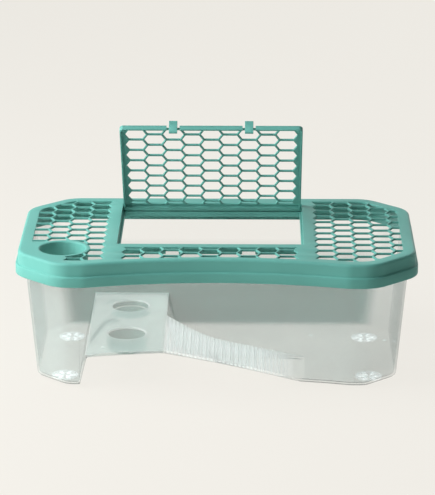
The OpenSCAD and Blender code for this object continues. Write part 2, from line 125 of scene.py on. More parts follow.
def turned(section: Array, steps: int, centre: Pair = (0.0, 0.0)) -> Array:
    """A section turned about an upright axis: centre + radius * (cos a, sin a), at its level.

    Args:
        section: rows of radius and level.
        steps: number of points round the axis.
        centre: place of the axis in plan.

    Returns:
        One ring of points for each row.
    """
    a = np.radians(np.arange(steps) * 360.0 / steps)
    r = section[:, 0][:, None]
    level = np.broadcast_to(section[:, 1][:, None], (len(section), steps))
    return np.stack([centre[0] + r * np.cos(a), centre[1] + r * np.sin(a), level], axis=2)


def raised(loop: Array, level: float) -> Array:
    """A loop in plan, lifted to a level."""
    return np.column_stack([loop, np.full(len(loop), level)])


def placed(name: str, data: bpy.types.ID) -> bpy.types.Object:
    """A new object in the scene.

    Args:
        name: its name.
        data: its mesh, lamp or camera.

    Returns:
        The object, at the origin.
    """
    piece = bpy.data.objects.new(name, data)
    bpy.context.scene.collection.objects.link(piece)
    return piece


def values(items: object, key: str, width: int = 1, kind: type = np.float32) -> Array:
    """Reads one property of all of a mesh's elements.

    Args:
        items: the elements, such as the mesh's vertices.
        key: name of the property.
        width: how many numbers it has.
        kind: type of the numbers.

    Returns:
        A row for each element, or a single number for each where width is 1.
    """
    found = np.zeros(len(items) * width, kind)
    items.foreach_get(key, found)
    return found.reshape(-1, width) if width > 1 else found


class Mould:
    """Collects surfaces and makes one mesh piece of them."""

    def __init__(self, name: str) -> None:
        """Starts an empty piece.

        Args:
            name: the piece's name.
        """
        self.name = name
        self.points: list[Array] = []
        self.faces: list[list[int]] = []
        self.count = 0

    def add(self, points: Array, faces: Array) -> None:
        """Adds a surface.

        Args:
            points: its points, one row of x, y, z each.
            faces: its faces, as numbers of those points.
        """
        self.faces.extend((faces + self.count).tolist())
        self.points.append(np.asarray(points, float).reshape(-1, 3))
        self.count += len(self.points[-1])

    def loft(self, rings: Array, wrap_rows: bool = False) -> None:
        """Joins closed rings of points, one after the other.

        Args:
            rings: an array of rings, points and coordinates.
            wrap_rows: whether the last ring joins the first.
        """
        self.add(rings, quads(len(rings), rings.shape[1], wrap_rows))

    def fan(self, ring: Array) -> None:
        """Closes a ring with triangles from its middle.

        Args:
            ring: the ring's points.
        """
        n = len(ring)
        i = np.arange(n)
        faces = np.stack([np.full(n, n), i, (i + 1) % n], axis=1)
        self.add(np.vstack([ring, ring.mean(0)]), faces)

    def plug(self, rings: Array) -> None:
        """Joins rings and closes the first and the last, which makes a solid.

        Args:
            rings: an array of rings, points and coordinates.
        """
        self.loft(rings)
        self.fan(rings[0])
        self.fan(rings[-1])

    def sweep(self, path: Array, section: Array) -> None:
        """Carries a closed section along an open path and closes both ends.

        The section's distance is laid off to the left of the path's direction, which is
        the difference of the neighbouring points.

        Args:
            path: points of the path in plan.
            section: rows of distance and level.
        """
        along = np.gradient(path, axis=0)
        along /= np.linalg.norm(along, axis=1)[:, None]
        left = np.stack([-along[:, 1], along[:, 0]], axis=1)
        plan = path[:, None] + left[:, None] * section[None, :, :1]
        level = np.broadcast_to(section[None, :, 1:], plan.shape[:2] + (1,))
        self.plug(np.concatenate([plan, level], axis=2))

    def move(self, how: Callable[[Array], Array]) -> None:
        """Moves all the points collected so far.

        Args:
            how: gives each point's new place.
        """
        self.points = [how(np.vstack(self.points))]

    def build(self, smooth: float = 35.0) -> bpy.types.Object:
        """Makes the mesh, merges the seams and points its faces outwards.

        Args:
            smooth: largest angle between faces that is shaded smooth, in degrees.

        Returns:
            The new object.
        """
        mesh = bpy.data.meshes.new(self.name)
        mesh.from_pydata(np.vstack(self.points) * MM, [], self.faces)
        work = bmesh.new()
        work.from_mesh(mesh)
        bmesh.ops.remove_doubles(work, verts=work.verts[:], dist=MERGE)
        bmesh.ops.recalc_face_normals(work, faces=work.faces[:])
        work.to_mesh(mesh)
        work.free()
        mesh.shade_smooth()
        mesh.set_sharp_from_angle(angle=math.radians(smooth))
        return placed(self.name, mesh)


def clip(loop: Array, point: Array, inward: Array) -> Array:
    """Keeps the part of a closed loop on one side of a line.

    A point's distance is its offset from the line along inward. Points at a distance of
    0 or more stay, and a new point stands where a side crosses the line.

    Args:
        loop: the loop's points.
        point: a point on the line.
        inward: direction across the line, towards the side that stays.

    Returns:
        The loop that is left, which may be empty.
    """
    if len(loop) < 3:
        return loop[:0]
    d = (loop - point) @ inward
    after = np.roll(d, -1)
    cross = np.nonzero(d * after < 0)[0]
    t = d[cross] / (d[cross] - after[cross])
    crossing = loop[cross] + t[:, None] * (np.roll(loop, -1, 0)[cross] - loop[cross])
    kept = np.nonzero(d >= 0)[0]
    order = np.argsort(np.concatenate([kept, cross + t]))
    return np.vstack([loop[kept], crossing])[order]


def clip_across(loop: Array, axis: int, place: float, way: int) -> Array:
    """Keeps the part of a closed loop on one side of a line square to an axis.

    Args:
        loop: the loop's points.
        axis: 0 for x and 1 for y.
        place: where on the axis the line lies.
        way: 1 keeps the part beyond the line, and -1 the part before it.

    Returns:
        The loop that is left, which may be empty.
    """
    unit = np.eye(2)[axis]
    return clip(loop, unit * place, unit * way)


def area(loop: Array) -> float:
    """Area of a closed loop: half the sum of its points' cross products.

    Args:
        loop: the loop's points.

    Returns:
        The area, positive where the loop runs anticlockwise.
    """
    x, y = loop.T
    return float(np.sum(x * np.roll(y, -1) - y * np.roll(x, -1)) / 2)


def grown(loop: Array, by: float) -> Array:
    """A closed anticlockwise loop moved outwards: each point goes along its mitre.

    The mitre is the sum of the two sides' outward directions, over one plus their
    product, times the distance.

    Args:
        loop: the loop's points.
        by: the distance.

    Returns:
        The moved points.
    """
    side = np.roll(loop, -1, 0) - loop
    side /= np.linalg.norm(side, axis=1)[:, None]
    out = np.stack([side[:, 1], -side[:, 0]], axis=1)
    before = np.roll(out, 1, 0)
    share = 1 + np.sum(out * before, axis=1)
    return loop + (out + before) * by / np.maximum(share, 0.5)[:, None]


def kept_loops(loops: list[Array], least_side: float, least_area: float) -> list[Array]:
    """The loops that are large enough, without points that nearly coincide.

    Args:
        loops: closed loops, anticlockwise.
        least_side: a point closer than this to the one before it is left out.
        least_area: loops of this area or less are left out.

    Returns:
        The loops that stay.
    """
    kept = []
    for loop in loops:
        if len(loop) > 2:
            loop = loop[np.linalg.norm(loop - np.roll(loop, 1, 0), axis=1) > least_side]
        if len(loop) > 2 and area(loop) > least_area:
            kept.append(loop)
    return kept


@dataclass(frozen=True)
class Perforation:
    """Long hexagonal holes in columns, each second column half a row up."""

    pitch_x: float = 19.12
    pitch_y: float = 20.0
    rib: float = 1.8
    flat: float = 0.77

    @property
    def half_flat(self) -> float:
        """Half length of a cell's flat side."""
        return self.pitch_x * self.flat / 2

    @property
    def half_tip(self) -> float:
        """Half width of a cell at its tips."""
        return self.pitch_x - self.half_flat

    def hole(self) -> Array:
        """The hole of one cell round the origin: the cell less half a rib all round.

        Returns:
            Its six corners, anticlockwise.
        """
        run, half = self.half_tip - self.half_flat, self.pitch_y / 2
        tip = self.half_tip - self.rib / 2 * math.hypot(run, half) / half
        high = half - self.rib / 2
        low = tip - high * run / half
        corners = [(tip, 0), (low, high), (-low, high), (-tip, 0), (-low, -high), (low, -high)]
        return np.array(corners)

    def holes(self, columns: tuple[int, int], rows: tuple[int, int], middle: Pair) -> list[Array]:
        """Holes of whole columns.

        Args:
            columns: numbers of the first and the last column, counted from the middle.
            rows: numbers of the first and the last row.
            middle: where row 0 of column 0 lies.

        Returns:
            One loop for each hole.
        """
        hole = self.hole()
        place = [
            (c * self.pitch_x, (r + c % 2 / 2) * self.pitch_y)
            for c in range(columns[0], columns[1] + 1)
            for r in range(rows[0], rows[1] + 1)
        ]
        return [hole + np.array(middle) + np.array(p) for p in place]


def perforated(mould: Mould, outer: Array, holes: list[Array], levels: Pair, edge: float,
               plain: list[Array]) -> None:
    """A flat plate with holes whose upper and lower edges are rounded.

    The flat faces fill the space between the outer loop and the holes grown by the
    rounding; each hole's wall is a quarter circle, a straight side and a quarter circle
    carried along the hole's loop.

    Args:
        mould: takes the surfaces.
        outer: the plate's outer loop, left open at its side.
        holes: loops of the holes, anticlockwise.
        levels: levels of the plate's underside and its top.
        edge: radius of the holes' edges.
        plain: loops of holes with a straight wall, which another piece lines.
    """
    low, high = levels
    turn = np.radians([0, 45, 90])
    out, drop = edge * (1 - np.sin(turn)), edge * (1 - np.cos(turn))
    offset = np.concatenate([out, out[::-1]])
    level = np.concatenate([high - drop, low + drop[::-1]])
    for hole in plain:
        mould.loft(np.stack([raised(hole, z) for z in (high, low)]))
    for hole in holes:
        mould.loft(np.stack([raised(grown(hole, o), z) for o, z in zip(offset, level)]))
    loops = [outer] + [grown(hole, edge) for hole in holes] + plain
    starts = np.cumsum([0] + [len(loop) for loop in loops])
    rims = [list(range(a, b)) for a, b in zip(starts[:-1], starts[1:])]
    flat = [Vector(p) for p in np.vstack(loops)]
    cut = geometry.delaunay_2d_cdt(flat, [], rims, 0, 1e-7)
    points = np.array([tuple(p) for p in cut[0]])
    kept = np.array([face for face, owners in zip(cut[2], cut[5]) if list(owners) == [0]])
    mould.add(raised(points, high), kept)
    mould.add(raised(points, low), kept[:, ::-1])


# ---- Sizes shared by the sub-assemblies ---------------------------------------------


@dataclass(frozen=True)
class Outline:
    """The lid's outline: an octagon with rounded corners and a front edge that curves in."""

    width: float = 400.0
    depth: float = 241.0
    corner_y: float = 79.0
    corner_x: float = 157.0
    corner_r: float = 35.0
    front_sag: float = 17.5
    front_half: float = 130.0
    blend_r: float = 40.0
    steps: int = 12
    front_points: int = 41

    def rounded(self, before: Array, at: Array, after: Array,
                radius: float) -> tuple[Array, Array]:
        """The arc that rounds the corner at, which touches both its sides.

        Args:
            before: the corner before it.
            at: the corner.
            after: the corner after it.
            radius: radius of the arc.

        Returns:
            The arc's points, and their directions into the lid.
        """
        a = (before - at) / np.linalg.norm(before - at)
        b = (after - at) / np.linalg.norm(after - at)
        half = math.acos(float(a @ b)) / 2
        centre = at + (a + b) / np.linalg.norm(a + b) * radius / math.sin(half)
        start = at + a * radius / math.tan(half) - centre
        inner = at - before
        way = math.copysign(1, inner[0] * (after - at)[1] - inner[1] * (after - at)[0])
        t = (math.pi - 2 * half) * way * np.linspace(0, 1, self.steps + 1)
        x = start[0] * np.cos(t) - start[1] * np.sin(t)
        y = start[0] * np.sin(t) + start[1] * np.cos(t)
        spoke = np.stack([x, y], axis=1)
        return centre + spoke, -spoke / radius * way

    def path(self) -> tuple[Array, Array]:
        """The whole outline, anticlockwise.

        The front's arc spans 4 parts in 4.8 of its chord, and the blends at its ends take
        the rest.

        Returns:
            Its points, and their directions into the lid.
        """
        w, d = self.width / 2, self.depth / 2
        radius = (self.front_half**2 + self.front_sag**2) / (2 * self.front_sag)
        x = np.linspace(-1, 1, self.front_points) * self.front_half * 4 / 4.8
        centre = np.array([0, -d + self.front_sag - radius])
        front = centre + np.stack([x, np.sqrt(radius**2 - x**2)], axis=1)
        ring = np.array([
            (w, -self.corner_y), (w, self.corner_y), (self.corner_x, d), (-self.corner_x, d),
            (-w, self.corner_y), (-w, -self.corner_y), (-self.corner_x, -d),
            (-self.front_half, -d), tuple(front[0]), tuple(front[-1]), (self.front_half, -d),
            (self.corner_x, -d),
        ])
        arc_start, arc_end, blends = 8, 9, (7, 10)
        parts = []
        for i in range(len(ring)):
            if i == arc_start:
                parts.append((front, (front - centre) / radius))
            elif i != arc_end:
                r = self.blend_r if i in blends else self.corner_r
                after = ring[(i + 1) % len(ring)]
                parts.append(self.rounded(ring[i - 1], ring[i], after, r))
        return np.vstack([p for p, _ in parts]), np.vstack([n for _, n in parts])

    def inset(self, by: float) -> Array:
        """The outline moved inwards: each point goes that far along its inward direction.

        Args:
            by: the distance.

        Returns:
            The moved points.
        """
        points, inward = self.path()
        return points + inward * by

    def rings(self, profile: Array) -> Array:
        """A profile carried along the outline.

        Args:
            profile: rows of distance inwards and level.

        Returns:
            One ring of points for each row.
        """
        points, inward = self.path()
        flat = points[None] + inward[None] * profile[:, 0][:, None, None]
        level = np.broadcast_to(profile[:, 1][:, None, None], flat.shape[:2] + (1,))
        return np.concatenate([flat, level], axis=2)


@dataclass(frozen=True)
class Levels:
    """Levels and places that the lid, its seat and the door share."""

    lid_z: float = 109.4
    step_z: float = 119.8
    plate_z: float = 131.0
    top_z: float = 133.2
    door_x: float = -6.5
    hinge_y: float = 90.5
    axis_z: float = 129.42
    open_angle: float = 52.0


# ---- Finishes -----------------------------------------------------------------------


class Clear(Enum):
    """Kinds of clear plastic on the tank, by their number among its faces' materials."""

    WALL = 0
    # rounded edges, with a painted highlight
    EDGE = 1
    DECK = 2
    RAMP = 3
    BOWL = 4


class Colour(Enum):
    """Base colours of the two plastics and the studio, in linear light."""

    MINT = (0.108, 0.352, 0.310)
    CLEAR = (0.310, 0.450, 0.435)
    # painted shade and painted reflection of the lid on the tank's back wall
    CLEAR_BACK_SHADE = (0.052, 0.245, 0.208)
    CLEAR_BOWL = (0.240, 0.400, 0.360)
    # painted shade where clear plastic is seen edge on and along the bottom edge
    CLEAR_EDGE_ON_SHADE = (0.045, 0.066, 0.060)
    DECK = (0.680, 0.780, 0.750)
    SHADED = (0.330, 0.420, 0.400)
    # painted highlight of the rounded clear edges
    EDGE_HIGHLIGHT = (0.850, 0.890, 0.880)
    MILKY = (0.860, 0.890, 0.885)
    # painted glints on the feet
    SPARKLE = (0.940, 0.960, 0.960)
    CREAM = (0.880, 0.855, 0.800)


def moulded_grain() -> Tree:
    """Fine mould texture and slow cloudy change of tone, worked out on object coordinates.

    Returns:
        A group with Tone, Gloss and Height, each about 0.5 in the middle.
    """
    tree = bpy.data.node_groups.new("moulded_grain", "ShaderNodeTree")
    kind = "NodeSocketFloat"
    for label, usual in (("Grain Scale", 1500.0), ("Cloud Scale", 14.0)):
        socket = tree.interface.new_socket(label, in_out="INPUT", socket_type=kind)
        socket.default_value = usual
    for label in ("Tone", "Gloss", "Height"):
        tree.interface.new_socket(label, in_out="OUTPUT", socket_type=kind)
    scales = tree.nodes.new("NodeGroupInput").outputs
    results = tree.nodes.new("NodeGroupOutput").inputs
    place = tree.nodes.new("ShaderNodeTexCoord").outputs["Object"]
    shift = tree.nodes.new("ShaderNodeMapping")
    shift.inputs["Location"].default_value = (0.7, 0.3, 0.1)
    tree.links.new(place, shift.inputs["Vector"])
    shifted = shift.outputs["Vector"]
    for label, scale, detail, where in (
        ("Height", "Grain Scale", 2.0, place),
        ("Tone", "Cloud Scale", 3.0, place),
        ("Gloss", "Cloud Scale", 5.0, shifted),
    ):
        noise = tree.nodes.new("ShaderNodeTexNoise")
        noise.inputs["Detail"].default_value = detail
        tree.links.new(where, noise.inputs["Vector"])
        tree.links.new(scales[scale], noise.inputs["Scale"])
        tree.links.new(noise.outputs["Fac"], results[label])
    return tree


def preset(node: bpy.types.Node, settings: dict[str, float]) -> None:
    """Sets numbers on a node's own sockets.

    Args:
        node: the node.
        settings: the numbers by the sockets' labels.
    """
    for label, value in settings.items():
        node.inputs[label].default_value = value


def new_material(name: str) -> tuple[bpy.types.Material, Tree, bpy.types.Node]:
    """A material with a Principled shader.

    Args:
        name: its name.

    Returns:
        The material, its nodes and the shader.
    """
    material = bpy.data.materials.new(name)
    material.use_nodes = True
    return material, material.node_tree, material.node_tree.nodes["Principled BSDF"]


def feed(tree: Tree, value: float | tuple | Socket, target: Socket) -> None:
    """Gives a socket its value.

    Args:
        tree: the nodes that the socket belongs to.
        value: another socket, a number or a colour.
        target: the socket.
    """
    if isinstance(value, Socket):
        tree.links.new(value, target)
    else:
        target.default_value = (*value, 1.0) if isinstance(value, tuple) else value


def calc(tree: Tree, operation: str, *terms: float | Socket) -> Socket:
    """The result of a Math node.

    Args:
        tree: the nodes that it stands among.
        operation: what it does.
        terms: its inputs.

    Returns:
        The result's socket.
    """
    node = tree.nodes.new("ShaderNodeMath")
    node.operation = operation
    for term, target in zip(terms, node.inputs):
        feed(tree, term, target)
    return node.outputs[0]


def mixed(tree: Tree, mask: Socket, low: Triple | Socket, high: float | Triple | Socket) -> Socket:
    """A number or a colour between two others, along a mask.

    Args:
        tree: the material's nodes.
        mask: 0 gives the first one and 1 the second.
        low: the first one.
        high: the second one, as a tuple where it is a colour.

    Returns:
        The result's socket.
    """
    mix = tree.nodes.new("ShaderNodeMix")
    mix.data_type = "RGBA" if isinstance(high, tuple) else "FLOAT"
    for label, value in (("A", low), ("B", high), ("Factor", mask)):
        feed(tree, value, mix.inputs[label])
    return mix.outputs["Result"]


def ranged(tree: Tree, value: Socket, results: Pair, source: Pair = (0.0, 1.0)) -> Socket:
    """A value moved evenly from one range to another, and held within it.

    Args:
        tree: the material's nodes.
        value: the value's socket.
        results: the results at the source range's start and end.
        source: the range that the value comes from.

    Returns:
        The result's socket.
    """
    node = tree.nodes.new("ShaderNodeMapRange")
    preset(node, {
        "From Min": source[0], "From Max": source[1], "To Min": results[0], "To Max": results[1],
    })
    tree.links.new(value, node.inputs["Value"])
    return node.outputs["Result"]


def seen_ray(tree: Tree) -> Socket:
    """A mask that is 1 for what the camera sees, straight, in gloss or through glass.

    Args:
        tree: the nodes of a material or of the world.

    Returns:
        The mask's socket.
    """
    rays = tree.nodes.new("ShaderNodeLightPath").outputs
    seen = rays["Is Camera Ray"]
    for ray in ("Is Glossy Ray", "Is Transmission Ray"):
        seen = calc(tree, "MAXIMUM", seen, rays[ray])
    return seen


def surfaced(tree: Tree, grain: bpy.types.Node, roughness: Pair, bump: Pair) -> None:
    """Gives a material the gloss and the relief of moulded plastic.

    Args:
        tree: the material's nodes.
        grain: the grain group's node.
        roughness: the least and the most of it.
        bump: strength, and height in metres.
    """
    shader = tree.nodes["Principled BSDF"]
    gloss = ranged(tree, grain.outputs["Gloss"], roughness, TONES)
    tree.links.new(gloss, shader.inputs["Roughness"])
    relief = tree.nodes.new("ShaderNodeBump")
    preset(relief, {"Strength": bump[0], "Distance": bump[1]})
    tree.links.new(grain.outputs["Height"], relief.inputs["Height"])
    tree.links.new(relief.outputs["Normal"], shader.inputs["Normal"])
    preset(shader, {"IOR": PLASTIC_IOR})


def grained(tree: Tree, group: Tree, scales: Pair) -> bpy.types.Node:
    """Puts the grain group into a material.

    Args:
        tree: the material's nodes.
        group: the group.
        scales: scales of the fine texture and of the slow change of tone.

    Returns:
        The group's node.
    """
    node = tree.nodes.new("ShaderNodeGroup")
    node.node_tree = group
    preset(node, {"Grain Scale": scales[0], "Cloud Scale": scales[1]})
    return node


@dataclass(frozen=True)
class GreenPlastic:
    """Opaque mint plastic with a fine satin mould texture."""

    name: str = "green_plastic"
    roughness: Pair = (0.48, 0.60)
    relief: Pair = (0.06, 0.0004)
    shades: Pair = (0.95, 1.05)
    scales: Pair = (1400.0, 11.0)

    def build(self, group: Tree) -> bpy.types.Material:
        """Makes the material.

        Args:
            group: the grain group.

        Returns:
            The material.
        """
        material, tree, shader = new_material(self.name)
        grain = grained(tree, group, self.scales)
        dark, light = (tuple(c * shade for c in Colour.MINT.value) for shade in self.shades)
        tone = ranged(tree, grain.outputs["Tone"], (0.0, 1.0), TONES)
        tree.links.new(mixed(tree, tone, dark, light), shader.inputs["Base Color"])
        surfaced(tree, grain, self.roughness, self.relief)
        preset(shader, {"Specular IOR Level": 0.25, "Sheen Weight": 0.04, "Sheen Roughness": 0.35})
        return material


@dataclass(frozen=True)
class ClearPlastic:
    """Clear plastic: nearly see-through face on, dark where it is seen edge on.

    Towards the back, and lower below the rim, the wall is tinted darker green and hides more:
    painted shade and a painted reflection of the lid. The dark tint where the plastic is seen
    edge on and along the bottom edge is painted shade, and the glow is painted light on rounded
    edges, the deck, the bowls, the ramp's ridges and the feet. Covers are shares of what lies
    behind that the plastic hides. Spans are in metres, except those of the wave and of the slope.
    """

    name: str = "clear_plastic"
    colour: Colour = Colour.CLEAR
    # tint at the back: painted shade and painted reflection of the lid
    deep: Colour = Colour.CLEAR_BACK_SHADE
    # painted shade where the plastic is seen edge on and along the bottom edge
    outline: Colour = Colour.CLEAR_EDGE_ON_SHADE
    cover: float = 0.14
    # covers at the back: painted shade, denser low down and clearer near the rim
    back_shade_cover: float = 0.43
    back_top_cover: float = 0.02
    edge_cover: float = 0.80
    # painted shade: a dark line along the bottom edge
    bottom_shade_cover: float = 0.0
    past_cover: float = 0.11
    painted_glint_cover: float = 0.95
    roughness: float = 0.06
    ripple: float = 0.10
    # painted light: emission that lightens the plastic, though it is no lamp
    glow: float = 0.0
    # painted glints on the feet, in a petal pattern
    painted_glints: bool = False
    fades: bool = False
    lines: float = 0.0
    back_span: Pair = (0.086, 0.0985)
    rim_span: Pair = (0.040, 0.092)
    foot_span: Pair = (0.038, 0.080)
    bottom_slope: float = -0.66
    slope_span: Pair = (0.10, 0.22)
    line_pitch: float = 0.004
    wave_span: Pair = (-0.6, 0.9)
    facing_span: Pair = (0.74, 0.97)
    scales: Pair = (60.0, 9.0)
    cover_swing: Pair = (0.85, 1.15)
    gloss_swing: Pair = (0.7, 1.4)
    ripple_h: float = 0.002

    def place_masks(self, tree: Tree) -> dict[str, Socket]:
        """Masks of where a point lies.

        They are at the back, low below the rim, past the ramp's foot, on the bottom edge,
        whose normals point down at one slope, and on fine lines across the ramp: a sine
        of the place along the width.

        Args:
            tree: the material's nodes.

        Returns:
            The masks' sockets by name.
        """
        place = tree.nodes.new("ShaderNodeTexCoord").outputs["Object"]
        normal = tree.nodes.new("ShaderNodeNewGeometry").outputs["Normal"]
        axes, slope = (tree.nodes.new("ShaderNodeSeparateXYZ") for _ in range(2))
        tree.links.new(place, axes.inputs["Vector"])
        tree.links.new(normal, slope.inputs["Vector"])
        off = calc(tree, "ABSOLUTE", calc(tree, "ADD", slope.outputs["Z"], -self.bottom_slope))
        turns = calc(tree, "MULTIPLY", axes.outputs["X"], 2 * math.pi / self.line_pitch)
        rising, falling = (0.0, 1.0), (1.0, 0.0)
        return {
            "lines": ranged(tree, calc(tree, "SINE", turns), rising, self.wave_span),
            "back": ranged(tree, axes.outputs["Y"], rising, self.back_span),
            "low": ranged(tree, axes.outputs["Z"], falling, self.rim_span),
            "past": ranged(tree, axes.outputs["X"], rising, self.foot_span),
            "edge": ranged(tree, off, falling, self.slope_span),
        }

    def density(self, tree: Tree, where: dict[str, Socket], tone: Socket, rim: Socket) -> Socket:
        """The share of what lies behind that the plastic hides.

        Args:
            tree: the material's nodes.
            where: the masks.
            tone: the grain's slow change of tone.
            rim: 1 where the plastic is seen edge on.

        Returns:
            The share's socket.
        """
        least, most = (self.cover * swing for swing in self.cover_swing)
        cover = ranged(tree, tone, (least, most), TONES)
        if self.lines:
            cover = mixed(tree, where["lines"], cover, self.cover * (1 - self.lines))
        if self.fades:
            cover = mixed(tree, where["past"], cover, self.past_cover)
        # painted shade: at the back the plastic hides more low down than near the rim
        deep = ranged(tree, where["low"], (self.back_top_cover, self.back_shade_cover))
        cover = mixed(tree, where["back"], cover, deep)
        # painted shade: a dark line along the bottom edge
        if self.bottom_shade_cover:
            cover = mixed(tree, where["edge"], cover, self.bottom_shade_cover)
        # painted glints on the feet: dense white petals
        if self.painted_glints:
            painted_glint = tree.nodes.new("ShaderNodeAttribute")
            painted_glint.attribute_name = "painted_glint"
            cover = mixed(tree, painted_glint.outputs["Fac"], cover, self.painted_glint_cover)
        return mixed(tree, rim, cover, self.edge_cover)

    def build(self, group: Tree) -> bpy.types.Material:
        """Makes the material.

        Args:
            group: the grain group.

        Returns:
            The material.
        """
        material, tree, shader = new_material(self.name)
        grain = grained(tree, group, self.scales)
        facing = tree.nodes.new("ShaderNodeLayerWeight")
        preset(facing, {"Blend": 0.5})
        edge_on = ranged(tree, facing.outputs["Facing"], (0.0, 1.0), self.facing_span)
        rim = calc(tree, "POWER", edge_on, 2.0)
        where = self.place_masks(tree)
        # painted shade: edge-on faces and the bottom edge take the dark outline colour, the back
        # the darker tint
        darkest = calc(tree, "MAXIMUM", rim, where["edge"]) if self.bottom_shade_cover else rim
        body = mixed(tree, where["back"], self.colour.value, self.deep.value)
        tint = mixed(tree, darkest, body, self.outline.value)
        tree.links.new(tint, shader.inputs["Base Color"])
        # painted light: the tint is given off as emission
        if self.glow:
            tree.links.new(tint, shader.inputs["Emission Color"])
            preset(shader, {"Emission Strength": self.glow})
        cover = self.density(tree, where, grain.outputs["Tone"], rim)
        tree.links.new(cover, shader.inputs["Alpha"])
        least, most = (self.roughness * swing for swing in self.gloss_swing)
        surfaced(tree, grain, (least, most), (self.ripple, self.ripple_h))
        return material


@dataclass(frozen=True)
class StudioFloor:
    """Pale matt floor that keeps the object's shadow and shows as one even tone."""

    name: str = "studio_floor"
    even: float = 0.92

    def build(self) -> bpy.types.Material:
        """Makes the material: part lit floor, part its plain colour where the camera sees it.

        Returns:
            The material.
        """
        material, tree, shader = new_material(self.name)
        cream = Colour.CREAM.value
        noise = tree.nodes.new("ShaderNodeTexNoise")
        preset(noise, {"Scale": 2.0})
        place = tree.nodes.new("ShaderNodeTexCoord")
        tree.links.new(place.outputs["Object"], noise.inputs["Vector"])
        tone = mixed(tree, noise.outputs["Fac"], tuple(c * 0.99 for c in cream), cream)
        tree.links.new(tone, shader.inputs["Base Color"])
        preset(shader, {"Roughness": 0.9, "Specular IOR Level": 0.0})
        glow = tree.nodes.new("ShaderNodeEmission")
        glow.inputs["Color"].default_value = (*cream, 1)
        mix = tree.nodes.new("ShaderNodeMixShader")
        tree.links.new(calc(tree, "MULTIPLY", seen_ray(tree), self.even), mix.inputs["Fac"])
        tree.links.new(shader.outputs[0], mix.inputs[1])
        tree.links.new(glow.outputs[0], mix.inputs[2])
        tree.links.new(mix.outputs[0], tree.nodes["Material Output"].inputs["Surface"])
        return material


def coat(piece: bpy.types.Object, materials: list[bpy.types.Material]) -> None:
    """Gives a piece its materials.

    Args:
        piece: the piece.
        materials: its materials, in the order of its faces' numbers.
    """
    piece.data.materials.clear()
    for material in materials:
        piece.data.materials.append(material)


class Finishes:
    """The materials, each made once."""

    def __init__(self) -> None:
        """Makes the materials."""
        group = moulded_grain()
        kinds = {
            # the wall's darker back and its dark bottom line are painted shade
            Clear.WALL: ClearPlastic(bottom_shade_cover=0.66, edge_cover=0.86),
            # painted highlight on rounded edges: pale, dense and glowing
            Clear.EDGE: ClearPlastic(
                "clear_plastic_edge_highlight", Colour.EDGE_HIGHLIGHT, Colour.EDGE_HIGHLIGHT, Colour.SHADED, cover=0.68,
                back_shade_cover=0.68, back_top_cover=0.40, edge_cover=0.75, roughness=0.12, glow=0.30,
            ),
            # the glow of the deck, the ramp and the bowls is painted light
            Clear.DECK: ClearPlastic(
                "clear_plastic_deck", Colour.DECK, Colour.DECK, Colour.SHADED, cover=0.50,
                back_shade_cover=0.50, back_top_cover=0.50, edge_cover=0.60, glow=0.50,
            ),
            Clear.RAMP: ClearPlastic(
                "clear_plastic_milky", Colour.MILKY, outline=Colour.SHADED, cover=0.62,
                back_shade_cover=0.62, back_top_cover=0.20, edge_cover=0.70, roughness=0.16, glow=0.42,
                fades=True, lines=0.45,
            ),
            Clear.BOWL: ClearPlastic(
                "clear_plastic_bowl", Colour.CLEAR_BOWL, cover=0.42, back_shade_cover=0.42,
                back_top_cover=0.42, edge_cover=0.80, glow=0.10,
            ),
        }
        self.green = GreenPlastic().build(group)
        self.clears = [kinds[kind].build(group) for kind in Clear]
        # painted glints on the feet: white, dense and glowing in a petal pattern
        self.rosette = ClearPlastic(
            "clear_plastic_rosette", Colour.SPARKLE, cover=0.12, back_shade_cover=0.20,
            back_top_cover=0.20, edge_cover=0.50, roughness=0.12, ripple=0.6, glow=0.7, painted_glints=True,
        ).build(group)

    def dress(self, piece: bpy.types.Object, materials: list[bpy.types.Material],
              body: str) -> None:
        """Gives a piece its materials and the body that carries it.

        Args:
            piece: the piece.
            materials: its materials, in the order of its faces' numbers.
            body: name of the body.
        """
        if list(piece.data.materials) != materials:
            coat(piece, materials)
        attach(piece, body)
        log.info("%s rides on %s with %d faces", piece.name, body, len(piece.data.polygons))


# ---- Rounded copies of CAD nodes ------------------------------------------------------


def edge_angles(mesh: bpy.types.Mesh) -> Array:
    """Angle between the two faces at each edge, from the product of their directions.

    Args:
        mesh: the mesh.

    Returns:
        One angle in degrees for each edge, 0 where an edge hasn't two faces.
    """
    normals = values(mesh.polygons, "normal", 3)
    sides = values(mesh.polygons, "loop_total", kind=np.int32)
    owner = np.repeat(np.arange(len(sides)), sides)
    edge = values(mesh.loops, "edge_index", kind=np.int32)
    order = np.argsort(edge, kind="stable")
    edge, owner = edge[order], owner[order]
    first = np.nonzero(edge[:-1] == edge[1:])[0]
    product = np.sum(normals[owner[first]] * normals[owner[first + 1]], axis=1)
    angles = np.zeros(len(mesh.edges))
    angles[edge[first]] = np.degrees(np.arccos(np.clip(product, -1, 1)))
    return angles


def simplify(mesh: bpy.types.Mesh, keep: set[str]) -> None:
    """Merges a mesh's doubles and joins its flat faces.

    Args:
        mesh: the mesh.
        keep: what joined faces may not cross, such as a change of material.
    """
    work = bmesh.new()
    work.from_mesh(mesh)
    bmesh.ops.remove_doubles(work, verts=work.verts[:], dist=CAD_MERGE)
    bmesh.ops.dissolve_limit(
        work, angle_limit=math.radians(FLAT), verts=work.verts[:], edges=work.edges[:],
        delimit=keep,
    )
    work.to_mesh(mesh)
    work.free()


def clean_copy(node: str, name: str) -> bpy.types.Object:
    """A copy of a CAD node with its doubles merged and its flat faces joined.

    Args:
        node: the node's name.
        name: the copy's name.

    Returns:
        The new object.
    """
    mesh = bpy.data.objects[node].data.copy()
    mesh.name = name
    simplify(mesh, set())
    return placed(name, mesh)


